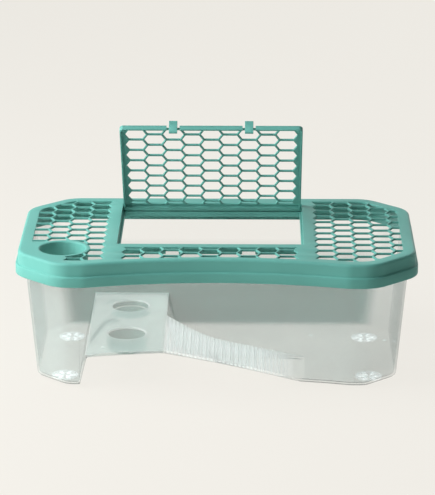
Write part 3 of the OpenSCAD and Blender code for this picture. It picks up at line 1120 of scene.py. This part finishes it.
@dataclass(frozen=True)
class SeamTest:
    """Finds the edges in the planes where one moulding's nodes meet, which stay sharp.

    A plane is an axis, its place on it and the distance within which an end counts.
    """

    planes: tuple[tuple[int, float, float], ...] = ()

    def along(self, pair: Array) -> Array:
        """Tests edges: one counts where both its ends lie near one of the planes.

        Args:
            pair: the two ends of each edge in millimetres.

        Returns:
            True for each edge in a plane.
        """
        found = np.zeros(len(pair), bool)
        for axis, place, near in self.planes:
            found |= np.all(np.abs(pair[..., axis] - place) < near, axis=1)
        return found


@dataclass(frozen=True)
class Rounding:
    """How a piece's sharp edges are rounded."""

    radius: float
    segments: int = 2
    least_angle: float = 35.0
    seam: SeamTest = SeamTest()
    share: Callable[[Array], Array] | None = None

    def add(self, piece: bpy.types.Object) -> bpy.types.Modifier:
        """Weights the edges that are sharper than the least angle and adds the rounding.

        Args:
            piece: the piece.

        Returns:
            The modifier.
        """
        mesh = piece.data
        ends = values(mesh.edges, "vertices", 2, np.int32)
        pair = values(mesh.vertices, "co", 3)[ends] / MM
        weight = (edge_angles(mesh) > self.least_angle) & ~self.seam.along(pair)
        if self.share is not None:
            weight = weight * self.share(pair)
        layer = mesh.attributes.new("bevel_weight_edge", "FLOAT", "EDGE")
        layer.data.foreach_set("value", weight.astype(np.float32))
        mesh.shade_smooth()
        mesh.set_sharp_from_angle(angle=math.radians(self.least_angle))
        bevel = piece.modifiers.new("rounding", "BEVEL")
        bevel.limit_method = "WEIGHT"
        bevel.width = self.radius * MM
        bevel.segments = self.segments
        bevel.use_clamp_overlap = False
        bevel.harden_normals = True
        return bevel

    def copy(self, node: str, name: str) -> bpy.types.Object:
        """Makes a rounded copy of a CAD node.

        Args:
            node: the node's name.
            name: the copy's name.

        Returns:
            The new object, which stands for the node.
        """
        piece = clean_copy(node, name)
        self.add(piece)
        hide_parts(node)
        return piece


def settle(piece: bpy.types.Object) -> None:
    """Applies a piece's modifiers to its mesh.

    Args:
        piece: the piece.
    """
    graph = bpy.context.evaluated_depsgraph_get()
    mesh = bpy.data.meshes.new_from_object(piece.evaluated_get(graph))
    mesh.name = piece.data.name
    piece.modifiers.clear()
    piece.data = mesh


# ---- Sub-assemblies ---------------------------------------------------------------------


@dataclass
class Lid:
    """The vented lid: a two-step skirt, a perforated top, the port's collar and the seat."""

    outline: Outline = field(default_factory=Outline)
    levels: Levels = field(default_factory=Levels)
    pattern: Perforation = field(default_factory=Perforation)
    wall: float = 2.2
    step: float = 2.5
    edge_r: float = 3.0
    foot_r: float = 0.8
    ridge_r: float = 1.2
    hem_r: float = 0.8
    chamfer: float = 0.4
    land: float = 8.0
    hole_edge: float = 0.35
    row_shift: float = 3.4
    vent_border: float = 15.0
    strip_border: float = 10.0
    border_reach: float = 15.0
    seat_columns: int = 6
    side_start: float = 11.459
    seat_land: float = 8.5
    left_columns: tuple[int, int] = (-9, -6)
    right_columns: tuple[int, int] = (6, 10)
    front_columns: tuple[int, int] = (-4, 4)
    side_rows: tuple[int, int] = (-7, 7)
    front_rows: tuple[int, int] = (-7, -1)
    least_side: float = 0.25
    least_area: float = 6.0
    port: Pair = (-153.0, -64.0)
    port_r: float = 22.8
    port_ring: float = 4.6
    port_depth: float = 18.0
    mouth_r: float = 1.7
    port_steps: int = 96
    side_parts: int = 8
    rim_steps: int = 6
    seat: tuple[float, float, float, float] = (-99.75, 86.75, -48.5, 95.5)

    def skirt_profile(self) -> Array:
        """The skirt's section from the top's rim over both steps and back up inside.

        Returns:
            Rows of distance inwards and level.
        """
        lv, s, w, c = self.levels, self.step, self.wall, self.chamfer
        f, g, h = self.foot_r, self.ridge_r, self.hem_r
        top = arc((s + self.edge_r, lv.top_z - self.edge_r), self.edge_r, 90, 180, 6)
        foot = arc((s - f, lv.step_z + f), f, 0, -90, 3)
        ridge = arc((g, lv.step_z - g), g, 90, 180, 4)
        hem = arc((h, lv.lid_z + h), h, 180, 270, 3)
        inside = [
            (w - c, lv.lid_z), (w, lv.lid_z + c), (w, lv.step_z - w),
            (w + s, lv.step_z - w + 1), (w + s, lv.plate_z - c),
            (w + s + c, lv.plate_z), (self.land, lv.plate_z),
        ]
        return np.vstack([[(self.land, lv.top_z)], top, foot, ridge, hem, inside])

    def cut_to(self, hole: Array, border: Array) -> Array:
        """A hole cut off where it would cross a border.

        Args:
            hole: the hole's loop.
            border: points along the border, with the plate on their left.

        Returns:
            The loop that is left.
        """
        if not len(hole):
            return hole
        along = np.roll(border, -1, 0) - border
        offset = hole.mean(0) - border
        length = np.sum(along**2, axis=1)
        share = np.clip(np.sum(offset * along, axis=1) / np.maximum(length, 1e-9), 0, 1)
        away = np.linalg.norm(offset - share[:, None] * along, axis=1)
        for i in np.nonzero((away < self.border_reach) & (length > 1e-12))[0]:
            inward = np.array([-along[i, 1], along[i, 0]]) / np.linalg.norm(along[i])
            if np.any((hole - border[i]) @ inward < 0):
                hole = clip(hole, border[i], inward)
        return hole

    def cut_port(self, hole: Array) -> Array:
        """A hole kept clear of the port's ring.

        A hole beside the port keeps its part behind the port, and one in front of the
        port's back its part to the right. Then the loop's longest run of points outside
        the ring stays, and an arc of the ring closes it.

        Args:
            hole: the hole's loop.

        Returns:
            The loop that is left.
        """
        back = self.port[1] + self.port_r
        if len(hole) and hole.mean(0)[0] < self.port[0]:
            hole = clip_across(hole, 1, back, 1)
        elif len(hole) and hole.mean(0)[1] < back:
            hole = clip_across(hole, 0, self.port[0], 1)
        if not len(hole):
            return hole
        ring = self.port_r + self.port_ring
        centre = np.array(self.port)
        t = np.arange(self.side_parts)[None, :, None] / self.side_parts
        fine = (hole[:, None] * (1 - t) + np.roll(hole, -1, 0)[:, None] * t).reshape(-1, 2)
        outside = np.linalg.norm(fine - centre, axis=1) >= ring
        if outside.all() or not outside.any():
            return hole if outside.all() else hole[:0]
        start = np.nonzero(outside & ~np.roll(outside, 1))[0][0]
        fine, outside = np.roll(fine, -start, 0), np.roll(outside, -start)
        run = fine[: np.argmin(outside)]
        first, last = (math.atan2(*(p - centre)[::-1]) for p in (run[-1], run[0]))
        sweep = (last - first + math.pi) % (2 * math.pi) - math.pi
        start, end = math.degrees(first), math.degrees(first + sweep)
        return np.vstack([run, arc(self.port, ring, start, end, self.rim_steps)])

    def vent_holes(self) -> list[Array]:
        """All the holes of the side vents and the front vent, cut to their borders.

        Returns:
            Their loops.
        """
        lv, reach = self.levels, self.seat_columns * self.pattern.pitch_x
        middle = (lv.door_x, self.row_shift)
        border = self.outline.inset(self.vent_border)
        strip = self.outline.inset(self.strip_border)
        left, right = lv.door_x - reach + self.side_start, lv.door_x + reach - self.side_start
        front = self.seat[2] - self.wall - self.seat_land
        found = []
        for hole in self.pattern.holes(self.left_columns, self.side_rows, middle):
            found.append(self.cut_port(self.cut_to(clip_across(hole, 0, left, -1), border)))
        for hole in self.pattern.holes(self.right_columns, self.side_rows, middle):
            found.append(self.cut_to(clip_across(hole, 0, right, 1), border))
        for hole in self.pattern.holes(self.front_columns, self.front_rows, middle):
            found.append(self.cut_to(clip_across(hole, 1, front, -1), strip))
        inner = self.outline.inset(self.strip_border - 0.5)
        low, high = inner.min(0), inner.max(0)
        whole = kept_loops(found, self.least_side, self.least_area)
        return [hole for hole in whole if np.all(hole > low) and np.all(hole < high)]

    def shell(self) -> bpy.types.Object:
        """The skirt, and the top with every hole, as one moulding.

        Returns:
            The new object, which stands for the frame and its vents.
        """
        lv = self.levels
        mould = Mould("lid_shell")
        mould.loft(self.outline.rings(self.skirt_profile()))
        x0, x1, y0, y1 = self.seat
        opening = np.array([(x0, y0), (x1, y0), (x1, y1), (x0, y1)])
        port = arc(self.port, self.port_r + self.wall, 0, 360, self.port_steps)[:-1]
        vents = self.vent_holes()
        outer = self.outline.inset(self.land)
        levels = (lv.plate_z, lv.top_z)
        perforated(mould, outer, vents + [opening], levels, self.hole_edge, [port])
        piece = mould.build()
        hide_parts("lid_frame", "vent_left", "vent_port", "vent_right", "vent_front")
        log.info("the lid has %d vent holes", len(vents))
        return piece

    def collar(self) -> bpy.types.Object:
        """The port's collar: a tube with a rounded mouth, turned about the port's axis.

        Returns:
            The new object, which stands for the collar.
        """
        top, r, w, m = self.levels.top_z, self.port_r, self.wall, self.mouth_r
        mouth = arc((r + m, top - m), m, 90, 180, 6)
        hem = arc((r + w / 2, top - self.port_depth + w / 2), w / 2, 180, 360, 6)
        section = np.vstack([[(r + w, top)], mouth, hem])
        mould = Mould("port_mouth")
        mould.loft(turned(section, self.port_steps, self.port), wrap_rows=True)
        piece = mould.build()
        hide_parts("port_collar")
        return piece

    def build(self, finishes: Finishes) -> None:
        """Builds and dresses the lid's pieces.

        Args:
            finishes: the materials.
        """
        seam = SeamTest(((2, self.levels.plate_z, 0.06),))
        seat = Rounding(0.4, seam=seam).copy("door_seat", "door_ledge")
        for piece in (self.shell(), self.collar(), seat):
            finishes.dress(piece, [finishes.green], "lid")


@dataclass
class Door:
    """The hinged mesh door with its rim, barrel, pins and two latches."""

    levels: Levels = field(default_factory=Levels)
    pattern: Perforation = field(default_factory=lambda: Perforation(pitch_y=17.5))
    half_width: float = 92.25
    length: float = 137.8
    plate: float = 2.0
    plate_edge: float = 0.5
    plate_back: float = 1.4
    rim: float = 2.0
    rim_depth: float = 5.6
    rim_edge: float = 0.6
    rim_lap: float = 0.7
    rim_start: float = -0.8
    corner_r: float = 4.0
    first_row: float = 13.6
    columns: tuple[int, int] = (-4, 4)
    rows: tuple[int, int] = (-1, 8)
    side_border: float = 0.3
    front_border: float = 3.4
    back_border: float = 5.4
    least_side: float = 0.25
    least_area: float = 4.0
    barrel_r: float = 2.4
    bar: float = 3.4
    bar_edge: float = 0.5
    notch: Pair = (13.1, 3.6)
    latch_x: float = 38.24
    latch_near: float = 5.0
    hole_edge: float = 0.3

    def swing(self, points: Array) -> Array:
        """Turns points of the closed door, its axis at the origin, to where it stands open.

        Args:
            points: the points, one row each.

        Returns:
            The turned points.
        """
        lv = self.levels
        a = math.radians(lv.open_angle)
        y = lv.hinge_y + points[:, 1] * math.cos(a) + points[:, 2] * math.sin(a)
        z = lv.axis_z - points[:, 1] * math.sin(a) + points[:, 2] * math.cos(a)
        return np.stack([points[:, 0] + lv.door_x, y, z], axis=1)

    def outer(self) -> Array:
        """The plate's outline with its rounded free corners and the two notches.

        Returns:
            Its points, anticlockwise.
        """
        w, r, end = self.half_width, self.corner_r, -self.length
        half, deep = self.notch[0] / 2, end + self.notch[1]
        front = [arc((-w + r, end + r), r, 180, 270, 8)]
        for x in (-self.latch_x, self.latch_x):
            front.append([(x - half, end), (x - half, deep), (x + half, deep), (x + half, end)])
        front.append(arc((w - r, end + r), r, 270, 360, 8))
        return np.vstack(front + [[(w, self.plate_back), (-w, self.plate_back)]])

    def holes(self) -> list[Array]:
        """The mesh's holes, cut to its straight borders and left out beside the latches.

        Returns:
            Their loops.
        """
        side = 4 * self.pattern.pitch_x + self.pattern.half_tip - self.side_border
        front = self.front_border - self.length
        found = []
        for hole in self.pattern.holes(self.columns, self.rows, (0, self.first_row - self.length)):
            x, y = hole.mean(0)
            if abs(abs(x) - self.latch_x) < self.latch_near and y < -self.length:
                continue
            hole = clip_across(clip_across(hole, 0, side, -1), 0, -side, 1)
            found.append(clip_across(clip_across(hole, 1, front, 1), 1, -self.back_border, -1))
        return kept_loops(found, self.least_side, self.least_area)

    def plate_side(self, outer: Array, under: float, top: float) -> Array:
        """The plate's side with two rounded edges: quarter circles laid off inwards.

        Args:
            outer: the plate's outline.
            under: level of its underside.
            top: level of its top.

        Returns:
            Rings of points from the top to the underside.
        """
        edge = self.plate_edge
        turn = np.radians([90, 60, 30, 0])
        inset, rise = edge * (1 - np.cos(turn)), edge * (1 - np.sin(turn))
        upper = list(zip(inset, top - rise))
        lower = list(zip(inset[::-1], under + rise[::-1]))
        return np.stack([raised(grown(outer, -g), z) for g, z in upper + lower])

    def rim_paths(self) -> list[Array]:
        """The rim's three runs along the door's edge, from the barrel round to the notches.

        Returns:
            Their points in plan, each with the door on its left.
        """
        w, r, end = self.half_width, self.corner_r, -self.length
        near, far = self.latch_x - self.notch[0] / 2, self.latch_x + self.notch[0] / 2
        left = np.vstack([
            [(-w, y) for y in np.linspace(self.rim_start, end + r, 12)],
            arc((-w + r, end + r), r, 180, 270, 10)[1:],
            [(x, end) for x in np.linspace(-w + r, -far, 6)[1:]],
        ])
        middle = np.array([(x, end) for x in np.linspace(-1, 1, 8) * near])
        return [left, middle, (left * [-1, 1])[::-1]]

    def panel(self) -> bpy.types.Object:
        """The plate with its holes, the rim under it, the bar and the barrel.

        Returns:
            The new object, which stands for the frame and its mesh.
        """
        top = self.levels.top_z - self.levels.axis_z
        under, low = top - self.plate, top - self.rim_depth
        mould = Mould("door_panel")
        outer = self.outer()
        flat = grown(outer, -self.plate_edge)
        perforated(mould, flat, self.holes(), (under, top), self.hole_edge, [])
        mould.loft(self.plate_side(outer, under, top))
        r, lap = self.rim_edge, under + self.rim_lap
        section = np.vstack([
            [(0, lap)], arc((r, low + r), r, 180, 270, 4),
            arc((self.rim - r, low + r), r, 270, 360, 4), [(self.rim, lap)],
        ])
        for path in self.rim_paths():
            mould.sweep(path, section)
        w, b, c = self.half_width, self.bar, self.bar_edge
        bar = [(-b, under + c), (-b, low + c), (c - b, low), (-c, low), (0, low + c),
               (0, under + c)]
        along = [(x, 0) for x in np.linspace(-w + 0.4, w - 0.4, 4)]
        mould.sweep(np.array(along), np.array(bar))
        r = self.barrel_r
        ends = [(r - 0.5, 0.0), (r - 0.15, 0.15), (r, 0.5)]
        barrel = [(q, -w + x) for q, x in ends] + [(q, w - x) for q, x in ends[::-1]]
        mould.plug(turned(np.array(barrel), 40)[..., [2, 0, 1]])
        mould.move(self.swing)
        piece = mould.build()
        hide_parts("door_frame", "door_mesh")
        return piece

    def build(self, frame: dict, finishes: Finishes) -> None:
        """Builds and dresses the door's pieces.

        Args:
            finishes: the materials.
        """
        finishes.dress(self.panel(), [finishes.green], "door")
        for side in ("left", "right"):
            latch = Rounding(0.35, 3).copy(f"latch_{side}", f"latch_clip_{side}")
            finishes.dress(latch, [finishes.green], f"latch_{side}")
            for kind in ("pin", "latch_web"):
                coat(frame["nodes"][f"{kind}_{side}"], [finishes.green])


@dataclass
class Tank:
    """The clear tank with its deck, ramp and feet."""

    foot_r: float = 13.5
    foot_h: float = 1.5
    foot_x: float = 152.5
    foot_front: float = -67.0
    foot_back: float = 53.0
    foot_hub: float = 0.4
    foot_edge: float = 0.5
    foot_rim: float = 1.5
    foot_gap: float = 0.03
    leaves: int = 6
    leaf_h: float = 0.9
    leaf_lean: float = 2.2
    bowl_r: float = 19.4
    bowl_lip: float = 2.5
    bowls: tuple[Pair, ...] = ((-91.25, 56.5), (-91.25, -32.5))
    deck_z: float = 33.7
    deck_near: float = 0.4
    floor_z: float = 3.7
    floor_near: float = 0.3
    rim_z: float = 60.0
    ramp: Pair = (-52.5, 88.0)
    ramp_under: float = 1.2
    ridge_start: float = 8.0
    ridge_near: float = 1.1
    ridge_part: float = 0.34
    thin_start: float = 90.0
    thin_near: float = 1.4
    thin_z: float = 20.0
    rounding: float = 0.7
    marks: tuple[Triple, ...] = ((97.0, 51.7, 3.7), (173.0, 36.5, 3.7), (-113.5, -76.5, 33.7))
    mark_h: float = 0.5
    mark_r: float = 2.1

    def foot(self, name: str, x: float, y: float) -> bpy.types.Object:
        """A foot with a rosette pressed into its underside.

        The underside's height is the leaf's height times a hump of the radius, times half
        of one plus a six-leaved cosine of the angle that turns over with the radius. It is
        0 along the rim that the foot stands on.

        Args:
            name: the CAD node that it stands for.
            x: sideways coordinate of its middle.
            y: depth coordinate of its middle.

        Returns:
            The new object.
        """
        under = np.linspace(self.foot_hub, self.foot_r - self.foot_edge, 22)
        r = np.concatenate([under, [self.foot_r, self.foot_r], under[::-1]])
        steps = 96
        a = np.radians(np.arange(steps) * 360.0 / steps)
        hump = np.sin(np.clip(under / (self.foot_r - self.foot_rim), 0, 1) * np.pi) ** 2
        swirl = np.cos(self.leaves * a)[None, :] * np.cos(under / self.leaf_lean)[:, None]
        level = np.full(len(r), self.foot_h - self.foot_gap)
        rings = turned(np.stack([r, level], axis=1), steps, (x, y))
        rings[: len(under), :, 2] = self.leaf_h * hump[:, None] * (0.5 + 0.5 * swirl)
        rings[len(under), :, 2] = self.foot_edge
        mould = Mould("rosette_" + name)
        mould.plug(rings)
        piece = mould.build(50)
        self.sparkle(piece, x, y)
        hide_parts(name)
        return piece

    def sparkle(self, piece: bpy.types.Object, x: float, y: float) -> None:
        """Marks where a foot catches the light, for its material.

        The painted glint is the larger of a petal shape, a squared cosine of three times the
        angle over a sine of the radius, and a narrow bell round the rim.

        Args:
            piece: the foot.
            x: sideways coordinate of its middle.
            y: depth coordinate of its middle.
        """
        across = values(piece.data.vertices, "co", 3)[:, :2] / MM - np.array([x, y])
        away, turn = np.hypot(*across.T), np.arctan2(across[:, 1], across[:, 0])
        swell = np.sin(np.clip(away / self.foot_r, 0, 1) * np.pi)
        painted_glint = np.clip(np.cos(self.leaves / 2 * turn) ** 2 * swell * 1.4 - 0.25, 0, 1)
        rim = np.exp(-(((away - self.foot_r + 1.2) / 0.7) ** 2)) * 0.6
        mask = piece.data.attributes.new("painted_glint", "FLOAT", "POINT")
        mask.data.foreach_set("value", np.maximum(painted_glint, rim).astype(np.float32))

    def ramp_height(self, x: Array) -> Array:
        """Height of the ramp's top: a straight slope from the deck down to the floor."""
        return np.interp(x, self.ramp, [self.deck_z, self.floor_z])

    def mark_deck(self, mesh: bpy.types.Mesh) -> None:
        """Numbers the deck's faces: its top, and the bowls below it; the rest is wall.

        Args:
            mesh: the deck's mesh.
        """
        centre = values(mesh.polygons, "center", 3) / MM
        face_z = self.deck_z - self.deck_near
        top = centre[:, 2] > face_z
        bowl = np.zeros(len(centre), bool)
        for x, y in self.bowls:
            bowl |= np.hypot(centre[:, 0] - x, centre[:, 1] - y) < self.bowl_r + self.bowl_lip
        bowl &= centre[:, 2] < face_z
        index = np.where(bowl, Clear.BOWL.value, np.where(top, Clear.DECK.value, Clear.WALL.value))
        mesh.polygons.foreach_set("material_index", index.astype(np.int32))

    def mark_edges(self, mesh: bpy.types.Mesh) -> None:
        """Makes wall of rounded edges under the ramp, along the rim and round the bottom.

        Args:
            mesh: the mesh.
        """
        centre = values(mesh.polygons, "center", 3) / MM
        index = values(mesh.polygons, "material_index", kind=np.int32)
        low = centre[:, 2] < self.ramp_height(centre[:, 0]) - self.ramp_under
        outer = (centre[:, 2] > self.rim_z) | (centre[:, 2] < self.floor_z - self.floor_near)
        # these edges take the wall's material, without the painted highlight
        plain = (index == Clear.EDGE.value) & (low | outer)
        index = np.where(plain, Clear.WALL.value, index)
        mesh.polygons.foreach_set("material_index", index.astype(np.int32))

    def ridge_share(self, pair: Array) -> Array:
        """Share of the rounding that each edge gets.

        It is a third on the ramp's ridges, none round the ramp's thin foot, where there is
        no room for it, and all of it elsewhere.

        Args:
            pair: the two ends of each edge in millimetres.

        Returns:
            One share for each edge.
        """
        z, along = pair[..., 2], pair[..., 0] - self.ramp[0]
        above = z - self.ramp_height(pair[..., 0])
        on_ramp = (along > self.ridge_start) & (pair[..., 0] < self.ramp[1])
        ridge = np.all(on_ramp & (np.abs(above) < self.ridge_near), axis=1)
        thin = (along > self.thin_start) & (above > -self.thin_near) & (z < self.thin_z)
        return np.where(np.all(thin, axis=1), 0.0, np.where(ridge, self.ridge_part, 1.0))

    def vessel(self, finishes: Finishes) -> bpy.types.Object:
        """The tank, its deck and its ramp joined into one moulding, with rounded edges.

        Args:
            finishes: the materials.

        Returns:
            The new object, which stands for the three nodes.
        """
        shell = clean_copy("tank", "tank_shell")
        deck, slope = clean_copy("basking_deck", "deck_part"), clean_copy("ramp", "ramp_part")
        for part in (shell, deck, slope):
            coat(part, finishes.clears)
        self.mark_deck(deck.data)
        ramp = np.full(len(slope.data.polygons), Clear.RAMP.value, np.int32)
        slope.data.polygons.foreach_set("material_index", ramp)
        for part in (deck, slope):
            join = shell.modifiers.new("join", "BOOLEAN")
            join.operation = "UNION"
            join.solver = "EXACT"
            join.material_mode = "INDEX"
            join.object = part
        settle(shell)
        for part in (deck, slope):
            bpy.data.objects.remove(part)
        simplify(shell.data, {"MATERIAL"})
        foot = SeamTest(((0, self.ramp[1], 5.0),))
        bevel = Rounding(self.rounding, seam=foot, share=self.ridge_share).add(shell)
        # rounded edges take the painted highlight material
        bevel.material = Clear.EDGE.value
        settle(shell)
        self.mark_edges(shell.data)
        shell.data.shade_smooth()
        shell.data.set_sharp_from_angle(angle=math.radians(35))
        shell.modifiers.new("shading", "WEIGHTED_NORMAL").keep_sharp = True
        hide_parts("tank", "basking_deck", "ramp")
        return shell

    def gate_marks(self) -> bpy.types.Object:
        """Small domes where the plastic was fed in: they fall with the square of the radius.

        Returns:
            The new object.
        """
        mould = Mould("gate_marks")
        r = np.array([0.3, 0.9, 1.5, 2.0, 2.0])
        for x, y, z in self.marks:
            level = z + self.mark_h * (1 - (r / self.mark_r) ** 2)
            level[-1] = z - 0.3
            mould.plug(turned(np.stack([r, level], axis=1), 24, (x, y)))
        return mould.build(50)

    def build(self, finishes: Finishes) -> None:
        """Builds and dresses the tank's pieces.

        Args:
            finishes: the materials.
        """
        edge = finishes.clears[Clear.EDGE.value]
        finishes.dress(self.vessel(finishes), finishes.clears, "tank")
        # the gate marks take the painted highlight material
        finishes.dress(self.gate_marks(), [edge], "tank")
        for row, y in (("front", self.foot_front), ("back", self.foot_back)):
            for side, way in (("left", -1), ("right", 1)):
                foot = self.foot(f"foot_{row}_{side}", way * self.foot_x, y)
                finishes.dress(foot, [finishes.rosette], "tank")


# ---- Studio ---------------------------------------------------------------------------


@dataclass(frozen=True)
class Lamp:
    """A square soft white lamp that faces the object: metres and watts."""

    name: str
    place: Triple
    size: float
    power: float
    target: Triple = (0.0, 0.0, 0.1)

    def build(self) -> None:
        """Builds the lamp."""
        light = bpy.data.lights.new(self.name, "AREA")
        light.shape = "SQUARE"
        light.size = self.size
        light.energy = self.power
        lamp = placed(self.name, light)
        lamp.location = self.place
        way = Vector(self.target) - Vector(self.place)
        lamp.rotation_euler = way.to_track_quat("-Z", "Y").to_euler()


@dataclass
class Studio:
    """Floor, lamps, world and camera, in metres."""

    eye: Triple = (0.0336, -2.7874, 0.9669)
    look: Triple = (-0.01152, 0.95624, -0.29237)
    lens: float = 208.74
    sensor: float = 36.0
    farthest: float = 60.0
    floor_radii: tuple[float, ...] = (0.01, 0.5, 1, 2, 4, 9.0)
    floor_z: float = -0.0004
    ambient: float = 0.14
    lamps: tuple[Lamp, ...] = (
        Lamp("key_left", (-1.00, -0.16, 0.82), 1.0, 28.0),
        Lamp("fill_front_left", (-1.7, -1.0, 0.5), 1.2, 9.0),
        Lamp("fill_back", (1.0, 1.7, 0.8), 1.2, 6.0),
        Lamp("top_soft", (-0.3, 0.3, 1.8), 1.2, 3.0),
    )

    def floor(self) -> None:
        """A round floor: rings of points at growing radii about the origin."""
        r = np.array(self.floor_radii) / MM
        rings = turned(np.stack([r, np.full(len(r), self.floor_z / MM)], axis=1), 64)
        mould = Mould("studio_floor")
        mould.loft(rings)
        mould.fan(rings[0])
        piece = mould.build()
        if piece.data.polygons[0].normal.z < 0:
            piece.data.flip_normals()
        coat(piece, [StudioFloor().build()])

    def world(self) -> None:
        """Even pale light from all round, and the background's colour where it is seen."""
        world = bpy.data.worlds.new("studio")
        bpy.context.scene.world = world
        world.use_nodes = True
        tree = world.node_tree
        light = tree.nodes["Background"]
        light.inputs["Color"].default_value = (1.0, 1.0, 1.0, 1)
        preset(light, {"Strength": self.ambient})
        shown = tree.nodes.new("ShaderNodeBackground")
        shown.inputs["Color"].default_value = (*Colour.CREAM.value, 1)
        mix = tree.nodes.new("ShaderNodeMixShader")
        tree.links.new(seen_ray(tree), mix.inputs["Fac"])
        tree.links.new(light.outputs[0], mix.inputs[1])
        tree.links.new(shown.outputs[0], mix.inputs[2])
        tree.links.new(mix.outputs[0], tree.nodes["World Output"].inputs["Surface"])

    def camera(self) -> None:
        """The camera at the photograph's place and angle."""
        data = bpy.data.cameras.new("camera")
        data.lens = self.lens
        data.sensor_width = self.sensor
        data.clip_end = self.farthest
        camera = placed("camera", data)
        camera.location = self.eye
        camera.rotation_euler = Vector(self.look).to_track_quat("-Z", "Y").to_euler()
        bpy.context.scene.camera = camera

    def build(self) -> None:
        """Builds the studio."""
        self.floor()
        self.world()
        for lamp in self.lamps:
            lamp.build()
        self.camera()
        bpy.context.scene.view_settings.view_transform = "Standard"
        log.info("studio is ready")


def main() -> None:
    """Builds the object and its studio."""
    logging.basicConfig(level=logging.INFO, format="%(name)s: %(message)s")
    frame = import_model()
    finishes = Finishes()
    Tank().build(finishes)
    Lid().build(finishes)
    Door().build(frame, finishes)
    Studio().build()


if __name__ == "__main__":
    main()
